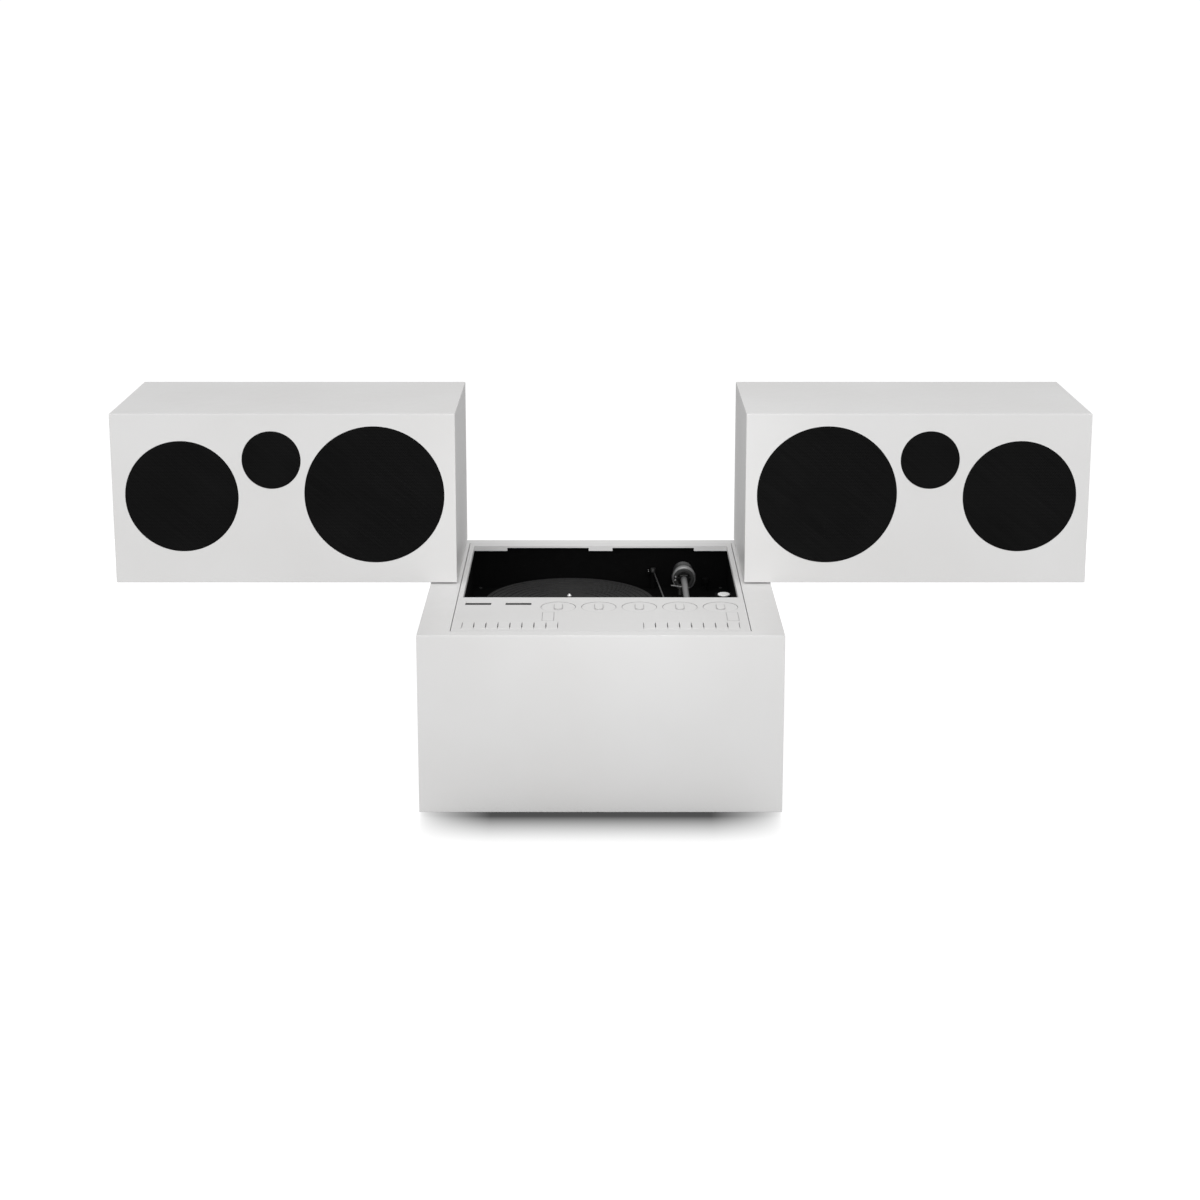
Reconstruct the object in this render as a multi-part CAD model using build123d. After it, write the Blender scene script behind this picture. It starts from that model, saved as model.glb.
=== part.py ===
from build123d import *
import math
import os

# A stereo system in two halves of one white cube.
# The lower half is the base: amplifier, tuner, keys, knobs and a record player sunk in a well.
# The upper half is two loudspeakers, each on a vertical pivot at a rear corner of the base.
# They are drawn swung open, with their drivers facing forward. Swung in, they close the cube.
# Millimetres. X runs to the viewer's right, Y to the back, Z up.
# The origin is on the floor, under the middle of the base.

# Driving dimensions of the cube
CUBE_WIDTH = 510.0
CUBE_DEPTH = 510.0
BASE_HEIGHT = 259.0
FOOT_LIFT = 6.0
SPEAKER_LENGTH = 510.0
SPEAKER_DEPTH = 254.0
SPEAKER_HEIGHT = 258.0
SPEAKER_LIFT = 2.0
PIVOT_INSET = 20.0
EDGE_RADIUS = 1.0

# Running and fitting clearances
SLIDE_GAP = 0.3
SHAFT_GAP = 0.05

# Base cabinet
CABINET_WALL = 20.0
SIDE_STRIP = 45.0
CORNER_BLOCK = 44.0
BOTTOM_RECESS = 6.0
BOTTOM_THICKNESS = 8.0
RAIL_HEIGHT = 22.0
RAIL_LEDGE = 6.0
CLEAT_MARGIN = 8.0
FOOT_RADIUS = 16.0
FOOT_INSET = 50.0
VENT_LENGTH = 60.0
VENT_WIDTH = 5.0
VENT_PITCH = 14.0
VENT_COUNT = 11

# Connector opening in the rear wall
CONNECTOR_WIDTH = 240.0
CONNECTOR_HEIGHT = 44.0
CONNECTOR_LIFT = 24.0

# Top panel and its well opening
PANEL_THICKNESS = 3.0
PANEL_GAP = 0.4
PANEL_SIDE_GAP = 1.1
PANEL_BORDER = 8.3
WELL_FRONT = 165.0
WELL_REAR = 18.0
FLANGE_THICKNESS = 1.4
FLANGE_DROP = 8.0
REAR_CUT_WIDTH = 130.0
REAR_CUT_OFFSET = 84.0
SIDE_NOTCH_LENGTH = 4.0
SIDE_NOTCH_REACH = 128.0
BOSS_EDGE = 6.5
BOSS_SETBACK = 21.6
BOSS_KNOB_GAP = 20.0
PANEL_BOSS_RADIUS = 4.0

# Keys
KEY_COUNT = 8
KEY_PITCH = 16.86
KEY_SPLIT = 0.3
KEY_LENGTH = 32.5
KEY_FRONT = 11.0
KEY_MARGIN = 15.12
KEY_GAP = 0.2
KEY_TRAVEL = 3.0
KEY_BODY = 11.0
KEY_WAIST_LENGTH = 21.0
KEY_WAIST_DEPTH = 0.7
KEY_RISE = 0.2
KEY_BEVEL = 0.3
WIDE_KEY_WIDTH = 16.4
WIDE_KEY_LENGTH = 40.0
WIDE_KEY_FRONT = 50.0
WIDE_KEY_STEP = 6.6
WIDE_KEY_MARGIN = 14.2

# Knobs
KNOB_COUNT = 5
KNOB_RADIUS = 25.0
KNOB_PITCH = 58.5
KNOB_MARGIN = 12.2
KNOB_SETBACK = 117.3
KNOB_GAP = 0.3
KNOB_SINK = 0.4
KNOB_THICKNESS = 5.0
KNOB_BEVEL = 0.4
GRIP_WIDTH = 12.0
GRIP_LENGTH = 29.0
GRIP_HEIGHT = 2.1
GRIP_BEVEL = 0.5
KNOB_SHAFT_RADIUS = 3.0
POT_RADIUS = 12.0
POT_HEIGHT = 12.0
CONTROL_BOARD_DROP = 34.0
CONTROL_BOARD_THICKNESS = 2.0

# Meter windows, which fill what the knobs leave
METER_COUNT = 2
METER_LENGTH = 10.6
METER_MARGIN = 13.7
METER_SPACING = 20.7
METER_KNOB_GAP = 14.2
METER_SETBACK = 132.3
METER_DEPTH = 9.0
METER_LIP = 2.0
LAMP_MARGIN = 1.8

# Amplifier chassis
CHASSIS_SIDE_GAP = 45.0
CHASSIS_FRONT_GAP = 35.0
CHASSIS_THICKNESS = 2.0
TRANSFORMER_SIDE = 20.0
TRANSFORMER_FRONT = 50.0
TRANSFORMER_WIDTH = 90.0
TRANSFORMER_LENGTH = 80.0
TRANSFORMER_HEIGHT = 78.0
CAPACITOR_RADIUS = 20.0
CAPACITOR_SPACING = 8.0
CAPACITOR_HEIGHT = 70.0
CAPACITOR_SETBACK = 70.0
HEAT_SINK_FINS = 9
HEAT_SINK_SIDE = 14.0
HEAT_SINK_LENGTH = 120.0
FIN_PITCH = 12.5
FIN_THICKNESS = 3.0
FIN_HEIGHT = 58.0

# Turntable tub
TUB_WALL = 3.0
TUB_SIDE_MARGIN = 0.3
TUB_FRONT_TUCK = 11.5
TUB_REAR_TUCK = 12.0
TUB_FLOOR_DROP = 70.0
TUB_FLOOR = 4.0

# Platter and drive, in the room that the arm leaves
PLATTER_SIDE_GAP = 22.4
PLATTER_FRONT_GAP = 21.5
PLATTER_REAR_GAP = 23.0
ARM_BAY = 118.4
PLATTER_HEIGHT = 14.0
PLATTER_TOP_PLATE = 4.0
PLATTER_SKIRT = 6.0
MAT_DROP = 49.0
MAT_THICKNESS = 3.0
MAT_MARGIN = 1.5
MAT_RIBS = 9
MAT_RIB_DEPTH = 1.0
SUB_RIM_WALL = 4.0
SPINDLE_RADIUS = 3.6
SPINDLE_HEIGHT = 12.3
BOSS_RADIUS = 12.0
BEARING_SHAFT_RADIUS = 5.0
BEARING_LENGTH = 30.0
BEARING_WALL = 6.0
MOTOR_RIM_GAP = 26.0
BELT_SPAN = 29.0
MOTOR_ANGLE = 225.0
MOTOR_RADIUS = 28.0
MOTOR_LENGTH = 34.0
PULLEY_RADIUS = 8.0
PULLEY_SHAFT_RADIUS = 1.5
BELT_THICKNESS = 1.0
BELT_WIDTH = 5.0

# Tonearm
ARM_RIM_GAP = 45.0
ARM_REAR_GAP = 93.0
ARM_FRONT_GAP = 22.5
ARM_DROP = 29.5
ARM_TUBE_RADIUS = 4.75
ARM_HEAD_LENGTH = 38.0
ARM_HEAD_ANGLE = 22.0
NEEDLE_REACH = 17.2
RING_RADIUS = 18.5
RING_WALL = 5.0
RING_LENGTH = 12.0
RING_BEVEL = 1.0
RING_LIP = 2.0
RING_RECESS = 1.2
ARM_PILLAR_RADIUS = 9.0
ARM_FLANGE_RADIUS = 15.0
ARM_PIVOT_RADIUS = 3.0
TRUNNION_RADIUS = 1.5
STUB_RADIUS = 3.9
STUB_LENGTH = 47.0
WEIGHT_RADIUS = 16.0
WEIGHT_LENGTH = 26.0
WEIGHT_GAP = 7.0
WEIGHT_BEVEL = 1.2
REST_SETBACK = 21.0
REST_RADIUS = 6.0
LIFT_BAR_SIDE = 6.0
LIFT_BAR_REACH = 20.5
LIFT_BAR_LENGTH = 31.0
LIFT_BAR_RADIUS = 1.2
LIFT_BAR_TURN = -24.0
LIFT_BAR_GAP = 2.3
LIFT_POST_RADIUS = 2.5
CUE_SIDE = 46.0
CUE_REAR_GAP = 10.0
CUE_DROP = 40.0
CUE_LENGTH = 172.0
CUE_ROD_RADIUS = 1.1
CUE_SPLAY = 4.6
START_WALL_GAP = 16.0
START_FRONT_GAP = 115.0
START_DROP = 28.0
START_RADIUS = 9.2
START_TRAVEL = 2.0

# Loudspeakers
SPEAKER_WALL = 18.0
BAFFLE = 22.0
BACK_PANEL = 12.0
BACK_RECESS = 2.0
BACK_REBATE = 6.0
GRILLE_DEPTH = 6.0
FLANGE_STEP = 4.0
WOOFER_END_MARGIN = 17.0
WOOFER_TOP_MARGIN = 18.8
WOOFER_BOTTOM_MARGIN = 31.2
TWEETER_RADIUS = 43.8
TWEETER_SPACING = 4.0
TWEETER_TOP_MARGIN = 26.2
MID_SPACING = 6.0
MID_END_MARGIN = 18.8
MID_DROP = 2.5
DRIVER_LEDGE = 10.0
WOOFER_BODY = 96.0
MID_BODY = 76.0
TWEETER_BODY = 34.0
CROSSOVER_LENGTH = 140.0
CROSSOVER_WIDTH = 90.0
CROSSOVER_REAR_GAP = 24.0
COIL_RADIUS = 18.0
COIL_HEIGHT = 26.0
CAN_RADIUS = 8.5
CAN_LENGTH = 34.0
CAN_PITCH = 28.0
PIVOT_PLATE = 90.0
PIVOT_PLATE_THICKNESS = 5.0
PIVOT_PLATE_LIP = 15.0
PIVOT_SHAFT_RADIUS = 10.0
PIVOT_BORE_RADIUS = 6.0
PIVOT_SHAFT_LENGTH = 120.0
BUSH_WALL = 3.0
BUSH_FLANGE_RADIUS = 17.5

# Places that follow from the driving dimensions
TOP = FOOT_LIFT + BASE_HEIGHT
FRONT = -CUBE_DEPTH / 2
REAR = CUBE_DEPTH / 2
RIGHT = CUBE_WIDTH / 2
INNER_X = RIGHT - CABINET_WALL
INNER_Y = REAR - CABINET_WALL
OPENING_X = RIGHT - SIDE_STRIP
PANEL_X = OPENING_X - PANEL_SIDE_GAP
PANEL_Y = INNER_Y - PANEL_GAP
PANEL_BOTTOM = TOP - PANEL_THICKNESS
WELL_HALF_WIDTH = OPENING_X - PANEL_BORDER
WELL_Y0 = FRONT + CABINET_WALL + WELL_FRONT
WELL_Y1 = INNER_Y - WELL_REAR
TUB_INNER_X = WELL_HALF_WIDTH + FLANGE_THICKNESS + TUB_SIDE_MARGIN
TUB_INNER_Y0 = WELL_Y0 - TUB_FRONT_TUCK
TUB_INNER_Y1 = WELL_Y1 + TUB_REAR_TUCK
TUB_X = TUB_INNER_X + TUB_WALL
TUB_Y0 = TUB_INNER_Y0 - TUB_WALL
TUB_Y1 = TUB_INNER_Y1 + TUB_WALL
FLOOR_TOP = TOP - TUB_FLOOR_DROP
FLOOR_BOTTOM = FLOOR_TOP - TUB_FLOOR
BOTTOM_TOP = FOOT_LIFT + BOTTOM_RECESS + BOTTOM_THICKNESS
PIVOT_X = RIGHT - PIVOT_INSET
PIVOT_Y = REAR - PIVOT_INSET
BUSH_RADIUS = PIVOT_SHAFT_RADIUS + SHAFT_GAP + BUSH_WALL

# Places of the controls
KNOB_Y = FRONT + CABINET_WALL + KNOB_SETBACK
KNOB_CENTRES = [OPENING_X - KNOB_MARGIN - KNOB_RADIUS - i * KNOB_PITCH for i in range(KNOB_COUNT)][::-1]
KNOB_ROW_EDGE = KNOB_CENTRES[0] - KNOB_RADIUS
METER_Y = FRONT + CABINET_WALL + METER_SETBACK
METER_EDGE = -OPENING_X + METER_MARGIN
METER_ROOM = KNOB_ROW_EDGE - METER_KNOB_GAP - METER_EDGE
METER_WIDTH = (METER_ROOM - (METER_COUNT - 1) * METER_SPACING) / METER_COUNT
METER_CENTRES = [
    METER_EDGE + METER_WIDTH / 2 + i * (METER_WIDTH + METER_SPACING) for i in range(METER_COUNT)
]
KEY_ROW = KEY_COUNT * KEY_PITCH
KEY_INNER = OPENING_X - KEY_MARGIN - KEY_ROW
KEY_CENTRES = [KEY_INNER + (i + 0.5) * KEY_PITCH for i in range(KEY_COUNT)]
KEY_Y0 = FRONT + CABINET_WALL + KEY_FRONT
WIDE_KEY_Y = FRONT + CABINET_WALL + WIDE_KEY_FRONT + WIDE_KEY_LENGTH / 2
LEFT_WIDE_KEY_X = -KEY_INNER - WIDE_KEY_STEP - WIDE_KEY_WIDTH / 2
RIGHT_WIDE_KEY_X = OPENING_X - WIDE_KEY_MARGIN - WIDE_KEY_WIDTH / 2
BOARD_TOP = TOP - CONTROL_BOARD_DROP

# Places of the record player
ROOM_ACROSS = 2 * TUB_INNER_X - PLATTER_SIDE_GAP - ARM_BAY
ROOM_ALONG = TUB_INNER_Y1 - TUB_INNER_Y0 - PLATTER_FRONT_GAP - PLATTER_REAR_GAP
PLATTER_RADIUS = min(ROOM_ACROSS, ROOM_ALONG) / 2
PLATTER_X = -TUB_INNER_X + PLATTER_SIDE_GAP + PLATTER_RADIUS
PLATTER_Y = TUB_INNER_Y0 + PLATTER_FRONT_GAP + PLATTER_RADIUS
MAT_TOP = TOP - MAT_DROP
PLATTER_TOP = MAT_TOP - MAT_THICKNESS
PLATTER_BOTTOM = PLATTER_TOP - PLATTER_HEIGHT
BOSS_TOP = MAT_TOP - MAT_RIB_DEPTH
MOTOR_REACH = PLATTER_RADIUS - PLATTER_SKIRT - MOTOR_RIM_GAP
SUB_RIM_RADIUS = MOTOR_REACH - BELT_SPAN
MOTOR_X = PLATTER_X + MOTOR_REACH * math.cos(math.radians(MOTOR_ANGLE))
MOTOR_Y = PLATTER_Y + MOTOR_REACH * math.sin(math.radians(MOTOR_ANGLE))
BELT_Z = PLATTER_BOTTOM + 1.0
ARM_X = PLATTER_X + PLATTER_RADIUS + ARM_RIM_GAP
ARM_Y = TUB_INNER_Y1 - ARM_REAR_GAP
ARM_Z = TOP - ARM_DROP
ARM_LENGTH = ARM_Y - TUB_INNER_Y0 - ARM_FRONT_GAP
HEAD_Y = ARM_Y - ARM_LENGTH + ARM_HEAD_LENGTH
REST_Y = HEAD_Y + REST_SETBACK
LIFT_BAR_X = ARM_X - LIFT_BAR_SIDE
LIFT_BAR_Y = ARM_Y - LIFT_BAR_REACH
CUE_X = ARM_X - CUE_SIDE
CUE_Y = TUB_INNER_Y1 - CUE_REAR_GAP
START_X = TUB_INNER_X - START_WALL_GAP
START_Y = WELL_Y0 + START_FRONT_GAP
START_TOP = TOP - START_DROP

# Places of the loudspeaker units, along the box from its inner end and up from its floor
SPEAKER_Z = TOP + SPEAKER_LIFT
WOOFER_RADIUS = (SPEAKER_HEIGHT - WOOFER_TOP_MARGIN - WOOFER_BOTTOM_MARGIN) / 2
WOOFER_ALONG = WOOFER_END_MARGIN + WOOFER_RADIUS
WOOFER_UP = WOOFER_BOTTOM_MARGIN + WOOFER_RADIUS
TWEETER_ALONG = WOOFER_ALONG + WOOFER_RADIUS + TWEETER_SPACING + TWEETER_RADIUS
TWEETER_UP = SPEAKER_HEIGHT - TWEETER_TOP_MARGIN - TWEETER_RADIUS
MID_START = TWEETER_ALONG + TWEETER_RADIUS + MID_SPACING
MID_RADIUS = (SPEAKER_LENGTH - MID_END_MARGIN - MID_START) / 2
MID_ALONG = MID_START + MID_RADIUS
MID_UP = WOOFER_UP - MID_DROP


def block(x0, x1, y0, y1, z0, z1):
    """A box given by its limits."""
    return Pos((x0 + x1) / 2, (y0 + y1) / 2, (z0 + z1) / 2) * Box(x1 - x0, y1 - y0, z1 - z0)


def post(x, y, z0, z1, radius):
    """A vertical cylinder given by its axis, ends and radius."""
    return Pos(x, y, (z0 + z1) / 2) * Cylinder(radius, z1 - z0)


def along_y(x, y0, y1, z, radius):
    """A cylinder lying front to back."""
    return Pos(x, (y0 + y1) / 2, z) * Rot(90, 0, 0) * Cylinder(radius, y1 - y0)


def soft_block(x0, x1, y0, y1, z0, z1, radius):
    """A box with all its outer edges rounded."""
    body = block(x0, x1, y0, y1, z0, z1)
    return fillet(body.edges(), radius)


def turned(points, x, y):
    """A solid of revolution about a vertical axis at x, y, from (radius, height) points."""
    outline = Polyline(*[(r, 0, z) for r, z in points], close=True)
    return Pos(x, y, 0) * revolve(make_face(outline), Axis.Z)


def save(name, shape):
    """Writes one node."""
    export_step(shape, f"parts/{name}.step")


def base_cabinet():
    """The white case: four walls, the top's side strips, corner blocks, rails and the front cleat."""
    case = soft_block(-RIGHT, RIGHT, FRONT, REAR, FOOT_LIFT, TOP, EDGE_RADIUS)
    case -= block(-INNER_X, INNER_X, -INNER_Y, INNER_Y, FOOT_LIFT - 1, TOP - CABINET_WALL)
    case -= block(-OPENING_X, OPENING_X, -INNER_Y, INNER_Y, TOP - CABINET_WALL - 1, TOP + 1)
    block_edge = RIGHT - CORNER_BLOCK
    for side in (-1, 1):
        for end in (-1, 1):
            x0, x1 = sorted((side * block_edge, side * (RIGHT - CABINET_WALL / 2)))
            y0, y1 = sorted((end * (REAR - CORNER_BLOCK), end * (REAR - CABINET_WALL / 2)))
            case += block(x0, x1, y0, y1, BOTTOM_TOP, TOP - CABINET_WALL / 2)
        x0, x1 = sorted((side * (TUB_X - RAIL_LEDGE), side * (RIGHT - CABINET_WALL / 2)))
        case += block(x0, x1, TUB_Y0, TUB_Y1, FLOOR_BOTTOM - RAIL_HEIGHT, FLOOR_BOTTOM)
        case -= post(side * PIVOT_X, PIVOT_Y, TOP - PIVOT_SHAFT_LENGTH, TOP + 1, BUSH_RADIUS)
    cleat = KEY_INNER - CLEAT_MARGIN
    case += block(-cleat, cleat, -INNER_Y - 5, -INNER_Y + 12, PANEL_BOTTOM - 14, PANEL_BOTTOM)
    half = CONNECTOR_WIDTH / 2
    z0 = BOTTOM_TOP + CONNECTOR_LIFT
    case -= block(-half, half, INNER_Y - 1, REAR + 1, z0, z0 + CONNECTOR_HEIGHT)
    return case


def base_bottom_panel():
    """The board that closes the case from below, with two rows of vent slots."""
    half_x = INNER_X - SLIDE_GAP
    half_y = INNER_Y - SLIDE_GAP
    panel = block(-half_x, half_x, -half_y, half_y, FOOT_LIFT + BOTTOM_RECESS, BOTTOM_TOP)
    slot = SlotOverall(VENT_LENGTH, VENT_WIDTH, rotation=90)
    for row in (-1, 1):
        for i in range(VENT_COUNT):
            x = (i - (VENT_COUNT - 1) / 2) * VENT_PITCH
            cut = extrude(Pos(x, row * CUBE_DEPTH / 5, FOOT_LIFT) * slot, BOTTOM_TOP)
            panel -= cut
    return panel


def rubber_feet():
    """Four turned rubber feet under the bottom panel."""
    reach_x = RIGHT - FOOT_INSET
    reach_y = REAR - FOOT_INSET
    top = FOOT_LIFT + BOTTOM_RECESS
    outline = [
        (0, 2), (4, 2), (4, 0), (FOOT_RADIUS - 2, 0), (FOOT_RADIUS, 2), (FOOT_RADIUS, top), (0, top),
    ]
    return [turned(outline, sx * reach_x, sy * reach_y) for sx in (-1, 1) for sy in (-1, 1)]


def key_window(x0, x1, y0, y1):
    """A cut-out in the panel for keys that stand between these limits."""
    return block(x0 - KEY_GAP, x1 + KEY_GAP, y0 - KEY_GAP, y1 + KEY_GAP, PANEL_BOTTOM - 1, TOP + 1)


def wide_key_limits(x):
    """X and Y limits of a wide key centred on x."""
    half = WIDE_KEY_WIDTH / 2
    return x - half, x + half, WIDE_KEY_Y - WIDE_KEY_LENGTH / 2, WIDE_KEY_Y + WIDE_KEY_LENGTH / 2


def top_panel():
    """The white moulded panel: control strip in front, well opening with its turned-down flange behind."""
    panel = block(-PANEL_X, PANEL_X, -PANEL_Y, PANEL_Y, PANEL_BOTTOM, TOP)
    outer = block(
        -WELL_HALF_WIDTH - FLANGE_THICKNESS, WELL_HALF_WIDTH + FLANGE_THICKNESS,
        WELL_Y0 - FLANGE_THICKNESS, WELL_Y1 + FLANGE_THICKNESS, TOP - FLANGE_DROP, PANEL_BOTTOM + 1,
    )
    panel += outer
    panel -= block(-WELL_HALF_WIDTH, WELL_HALF_WIDTH, WELL_Y0, WELL_Y1, TOP - FLANGE_DROP - 1, TOP + 1)
    for side in (-1, 1):
        middle = side * REAR_CUT_OFFSET
        half = REAR_CUT_WIDTH / 2
        panel -= block(
            middle - half, middle + half, WELL_Y1 - 1, WELL_Y1 + FLANGE_THICKNESS,
            TOP - FLANGE_DROP - 1, PANEL_BOTTOM,
        )
        x0, x1 = sorted((side * (WELL_HALF_WIDTH - 1), side * (WELL_HALF_WIDTH + FLANGE_THICKNESS)))
        notch = WELL_Y0 + SIDE_NOTCH_REACH
        panel -= block(x0, x1, notch, notch + SIDE_NOTCH_LENGTH, TOP - FLANGE_DROP - 1, PANEL_BOTTOM)
    for x in (-KEY_INNER - KEY_ROW, KEY_INNER):
        panel -= key_window(x, x + KEY_ROW, KEY_Y0, KEY_Y0 + KEY_LENGTH)
    for x in (LEFT_WIDE_KEY_X, RIGHT_WIDE_KEY_X):
        panel -= key_window(*wide_key_limits(x))
    for x in KNOB_CENTRES:
        panel -= post(x, KNOB_Y, PANEL_BOTTOM - 1, TOP + 1, KNOB_RADIUS + KNOB_GAP)
    half = METER_WIDTH / 2
    for x in METER_CENTRES:
        panel -= block(
            x - half, x + half, METER_Y - METER_LENGTH / 2, METER_Y + METER_LENGTH / 2,
            PANEL_BOTTOM - 1, TOP + 1,
        )
    for x, y in (
        (-PANEL_X + BOSS_EDGE, METER_Y - BOSS_SETBACK),
        (KNOB_ROW_EDGE - BOSS_EDGE, METER_Y - BOSS_SETBACK),
        (0, KNOB_Y - KNOB_RADIUS - BOSS_KNOB_GAP),
        (PANEL_X - BOSS_EDGE, METER_Y - BOSS_SETBACK),
    ):
        panel += post(x, y, BOARD_TOP, PANEL_BOTTOM, PANEL_BOSS_RADIUS)
    return panel


def meter_windows():
    """Two smoked windows, flush in the panel, one over each meter."""
    half = METER_WIDTH / 2
    length = METER_LENGTH / 2
    windows = []
    for x in METER_CENTRES:
        pane = block(x - half, x + half, METER_Y - length, METER_Y + length, TOP - METER_DEPTH, TOP - 0.4)
        lip = block(
            x - half - METER_LIP, x + half + METER_LIP, METER_Y - length - METER_LIP,
            METER_Y + length + METER_LIP, PANEL_BOTTOM - 2, PANEL_BOTTOM,
        )
        windows.append(pane + lip)
    return windows


def key(x):
    """One push key: a slim plate with a waist on each side, and a stem below."""
    half = (KEY_PITCH - KEY_SPLIT) / 2
    y1 = KEY_Y0 + KEY_LENGTH
    body = block(x - half, x + half, KEY_Y0, y1, PANEL_BOTTOM - KEY_TRAVEL - 2, TOP + KEY_RISE)
    body = chamfer(body.edges().filter_by(Axis.Z), 0.6)
    body = chamfer(body.edges().group_by(Axis.Z)[-1], KEY_BEVEL)
    middle = (KEY_Y0 + y1) / 2 + 1.5
    for side in (-1, 1):
        waist = Pos(x + side * half, middle, TOP) * Box(2 * KEY_WAIST_DEPTH, KEY_WAIST_LENGTH, 40)
        body -= waist
    stem = block(x - 3, x + 3, KEY_Y0 + 8, y1 - 8, TOP - KEY_BODY - 6, PANEL_BOTTOM - KEY_TRAVEL - 2)
    return body + stem


def wide_key(x):
    """One of the two long keys that stand behind the rows."""
    x0, x1, y0, y1 = wide_key_limits(x)
    body = block(x0, x1, y0, y1, PANEL_BOTTOM - KEY_TRAVEL - 2, TOP + KEY_RISE)
    body = chamfer(body.edges().filter_by(Axis.Z), 0.8)
    body = chamfer(body.edges().group_by(Axis.Z)[-1], KEY_BEVEL)
    stem = block(x - 3, x + 3, y0 + 12, y1 - 12, TOP - KEY_BODY - 6, PANEL_BOTTOM - KEY_TRAVEL - 2)
    return body + stem


def knob(x):
    """A large flush disc with a raised grip bar across it and a shaft into its control."""
    top = TOP - KNOB_SINK
    low = top - KNOB_THICKNESS
    shaft_end = BOARD_TOP + 2
    outline = [
        (0, shaft_end), (KNOB_SHAFT_RADIUS, shaft_end), (KNOB_SHAFT_RADIUS, low), (KNOB_RADIUS, low),
        (KNOB_RADIUS, top - KNOB_BEVEL), (KNOB_RADIUS - KNOB_BEVEL, top), (0, top),
    ]
    slot = SlotOverall(GRIP_LENGTH, GRIP_WIDTH, rotation=90)
    bar = extrude(Pos(x, KNOB_Y, top - 0.5) * slot, GRIP_HEIGHT + 0.5)
    bar = chamfer(bar.edges().group_by(Axis.Z)[-1], GRIP_BEVEL)
    return turned(outline, x, KNOB_Y) + bar


def turntable_tub():
    """The black well: floor, walls, bearing boss, arm rest, lift guide and the pod of the start button."""
    tub = block(-TUB_X, TUB_X, TUB_Y0, TUB_Y1, FLOOR_BOTTOM, PANEL_BOTTOM)
    tub -= block(-TUB_INNER_X, TUB_INNER_X, TUB_INNER_Y0, TUB_INNER_Y1, FLOOR_TOP, PANEL_BOTTOM + 1)
    bearing_radius = BEARING_SHAFT_RADIUS + SHAFT_GAP
    tub += post(PLATTER_X, PLATTER_Y, FLOOR_BOTTOM - BEARING_LENGTH, FLOOR_TOP, bearing_radius + BEARING_WALL)
    tub -= post(PLATTER_X, PLATTER_Y, FLOOR_BOTTOM - BEARING_LENGTH + 4, FLOOR_TOP + 1, bearing_radius)
    tub -= post(MOTOR_X, MOTOR_Y, FLOOR_BOTTOM - 1, FLOOR_TOP + 1, PULLEY_RADIUS + 2)
    lift_x, lift_y = LIFT_BAR_X, LIFT_BAR_Y
    guide_top = ARM_Z - ARM_TUBE_RADIUS - LIFT_BAR_GAP - 14
    tub += post(lift_x, lift_y, FLOOR_TOP - 1, guide_top, LIFT_POST_RADIUS + 2)
    tub -= post(lift_x, lift_y, FLOOR_BOTTOM - 1, guide_top + 1, LIFT_POST_RADIUS + SHAFT_GAP)
    tub += rest_post()
    pod_top = START_TOP - START_TRAVEL - 2
    tub += block(START_X - 13, TUB_INNER_X + 1, START_Y - 18, START_Y + 18, FLOOR_TOP - 1, pod_top)
    tub -= post(START_X, START_Y, pod_top - 12, pod_top + 1, 4 + SLIDE_GAP)
    tub += post(CUE_X, CUE_Y, FLOOR_TOP - 1, TOP - CUE_DROP - 3 - SLIDE_GAP, 5)
    tub -= post(CUE_X, CUE_Y, FLOOR_TOP + 6, TOP - CUE_DROP, 1.5 + SHAFT_GAP)
    return tub


def rest_post():
    """The arm rest: a post with a shelf under the tube and a stop on its outer side."""
    under = ARM_Z - ARM_TUBE_RADIUS - SLIDE_GAP
    column = post(ARM_X, REST_Y, FLOOR_TOP - 1, under - 3, REST_RADIUS)
    shelf = block(ARM_X - 7, ARM_X + 10, REST_Y - 4, REST_Y + 4, under - 4, under)
    stop_x = ARM_X + ARM_TUBE_RADIUS + SLIDE_GAP
    stop = block(stop_x, stop_x + 3, REST_Y - 4, REST_Y + 4, under - 1, ARM_Z + 5)
    return column + shelf + stop


def platter():
    """The platter: disc with skirt, inner belt rim, hub, bearing shaft and record spindle."""
    hub = BEARING_SHAFT_RADIUS + 8
    plate = PLATTER_TOP - PLATTER_TOP_PLATE
    rim_inner = SUB_RIM_RADIUS - SUB_RIM_WALL
    skirt_inner = PLATTER_RADIUS - PLATTER_SKIRT
    tip = MAT_TOP + SPINDLE_HEIGHT
    shaft_end = FLOOR_BOTTOM - BEARING_LENGTH + 4 + SLIDE_GAP
    outline = [
        (0, shaft_end), (BEARING_SHAFT_RADIUS, shaft_end), (BEARING_SHAFT_RADIUS, FLOOR_TOP + 1),
        (hub, FLOOR_TOP + 1), (hub, plate), (rim_inner, plate), (rim_inner, PLATTER_BOTTOM),
        (SUB_RIM_RADIUS, PLATTER_BOTTOM), (SUB_RIM_RADIUS, plate), (skirt_inner, plate),
        (skirt_inner, PLATTER_BOTTOM), (PLATTER_RADIUS - 1, PLATTER_BOTTOM),
        (PLATTER_RADIUS, PLATTER_BOTTOM + 1), (PLATTER_RADIUS, PLATTER_TOP - 1),
        (PLATTER_RADIUS - 1, PLATTER_TOP), (BOSS_RADIUS, PLATTER_TOP), (BOSS_RADIUS, BOSS_TOP),
        (SPINDLE_RADIUS, BOSS_TOP), (SPINDLE_RADIUS, tip - 2.5), (1.2, tip), (0, tip),
    ]
    return turned(outline, PLATTER_X, PLATTER_Y)


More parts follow.
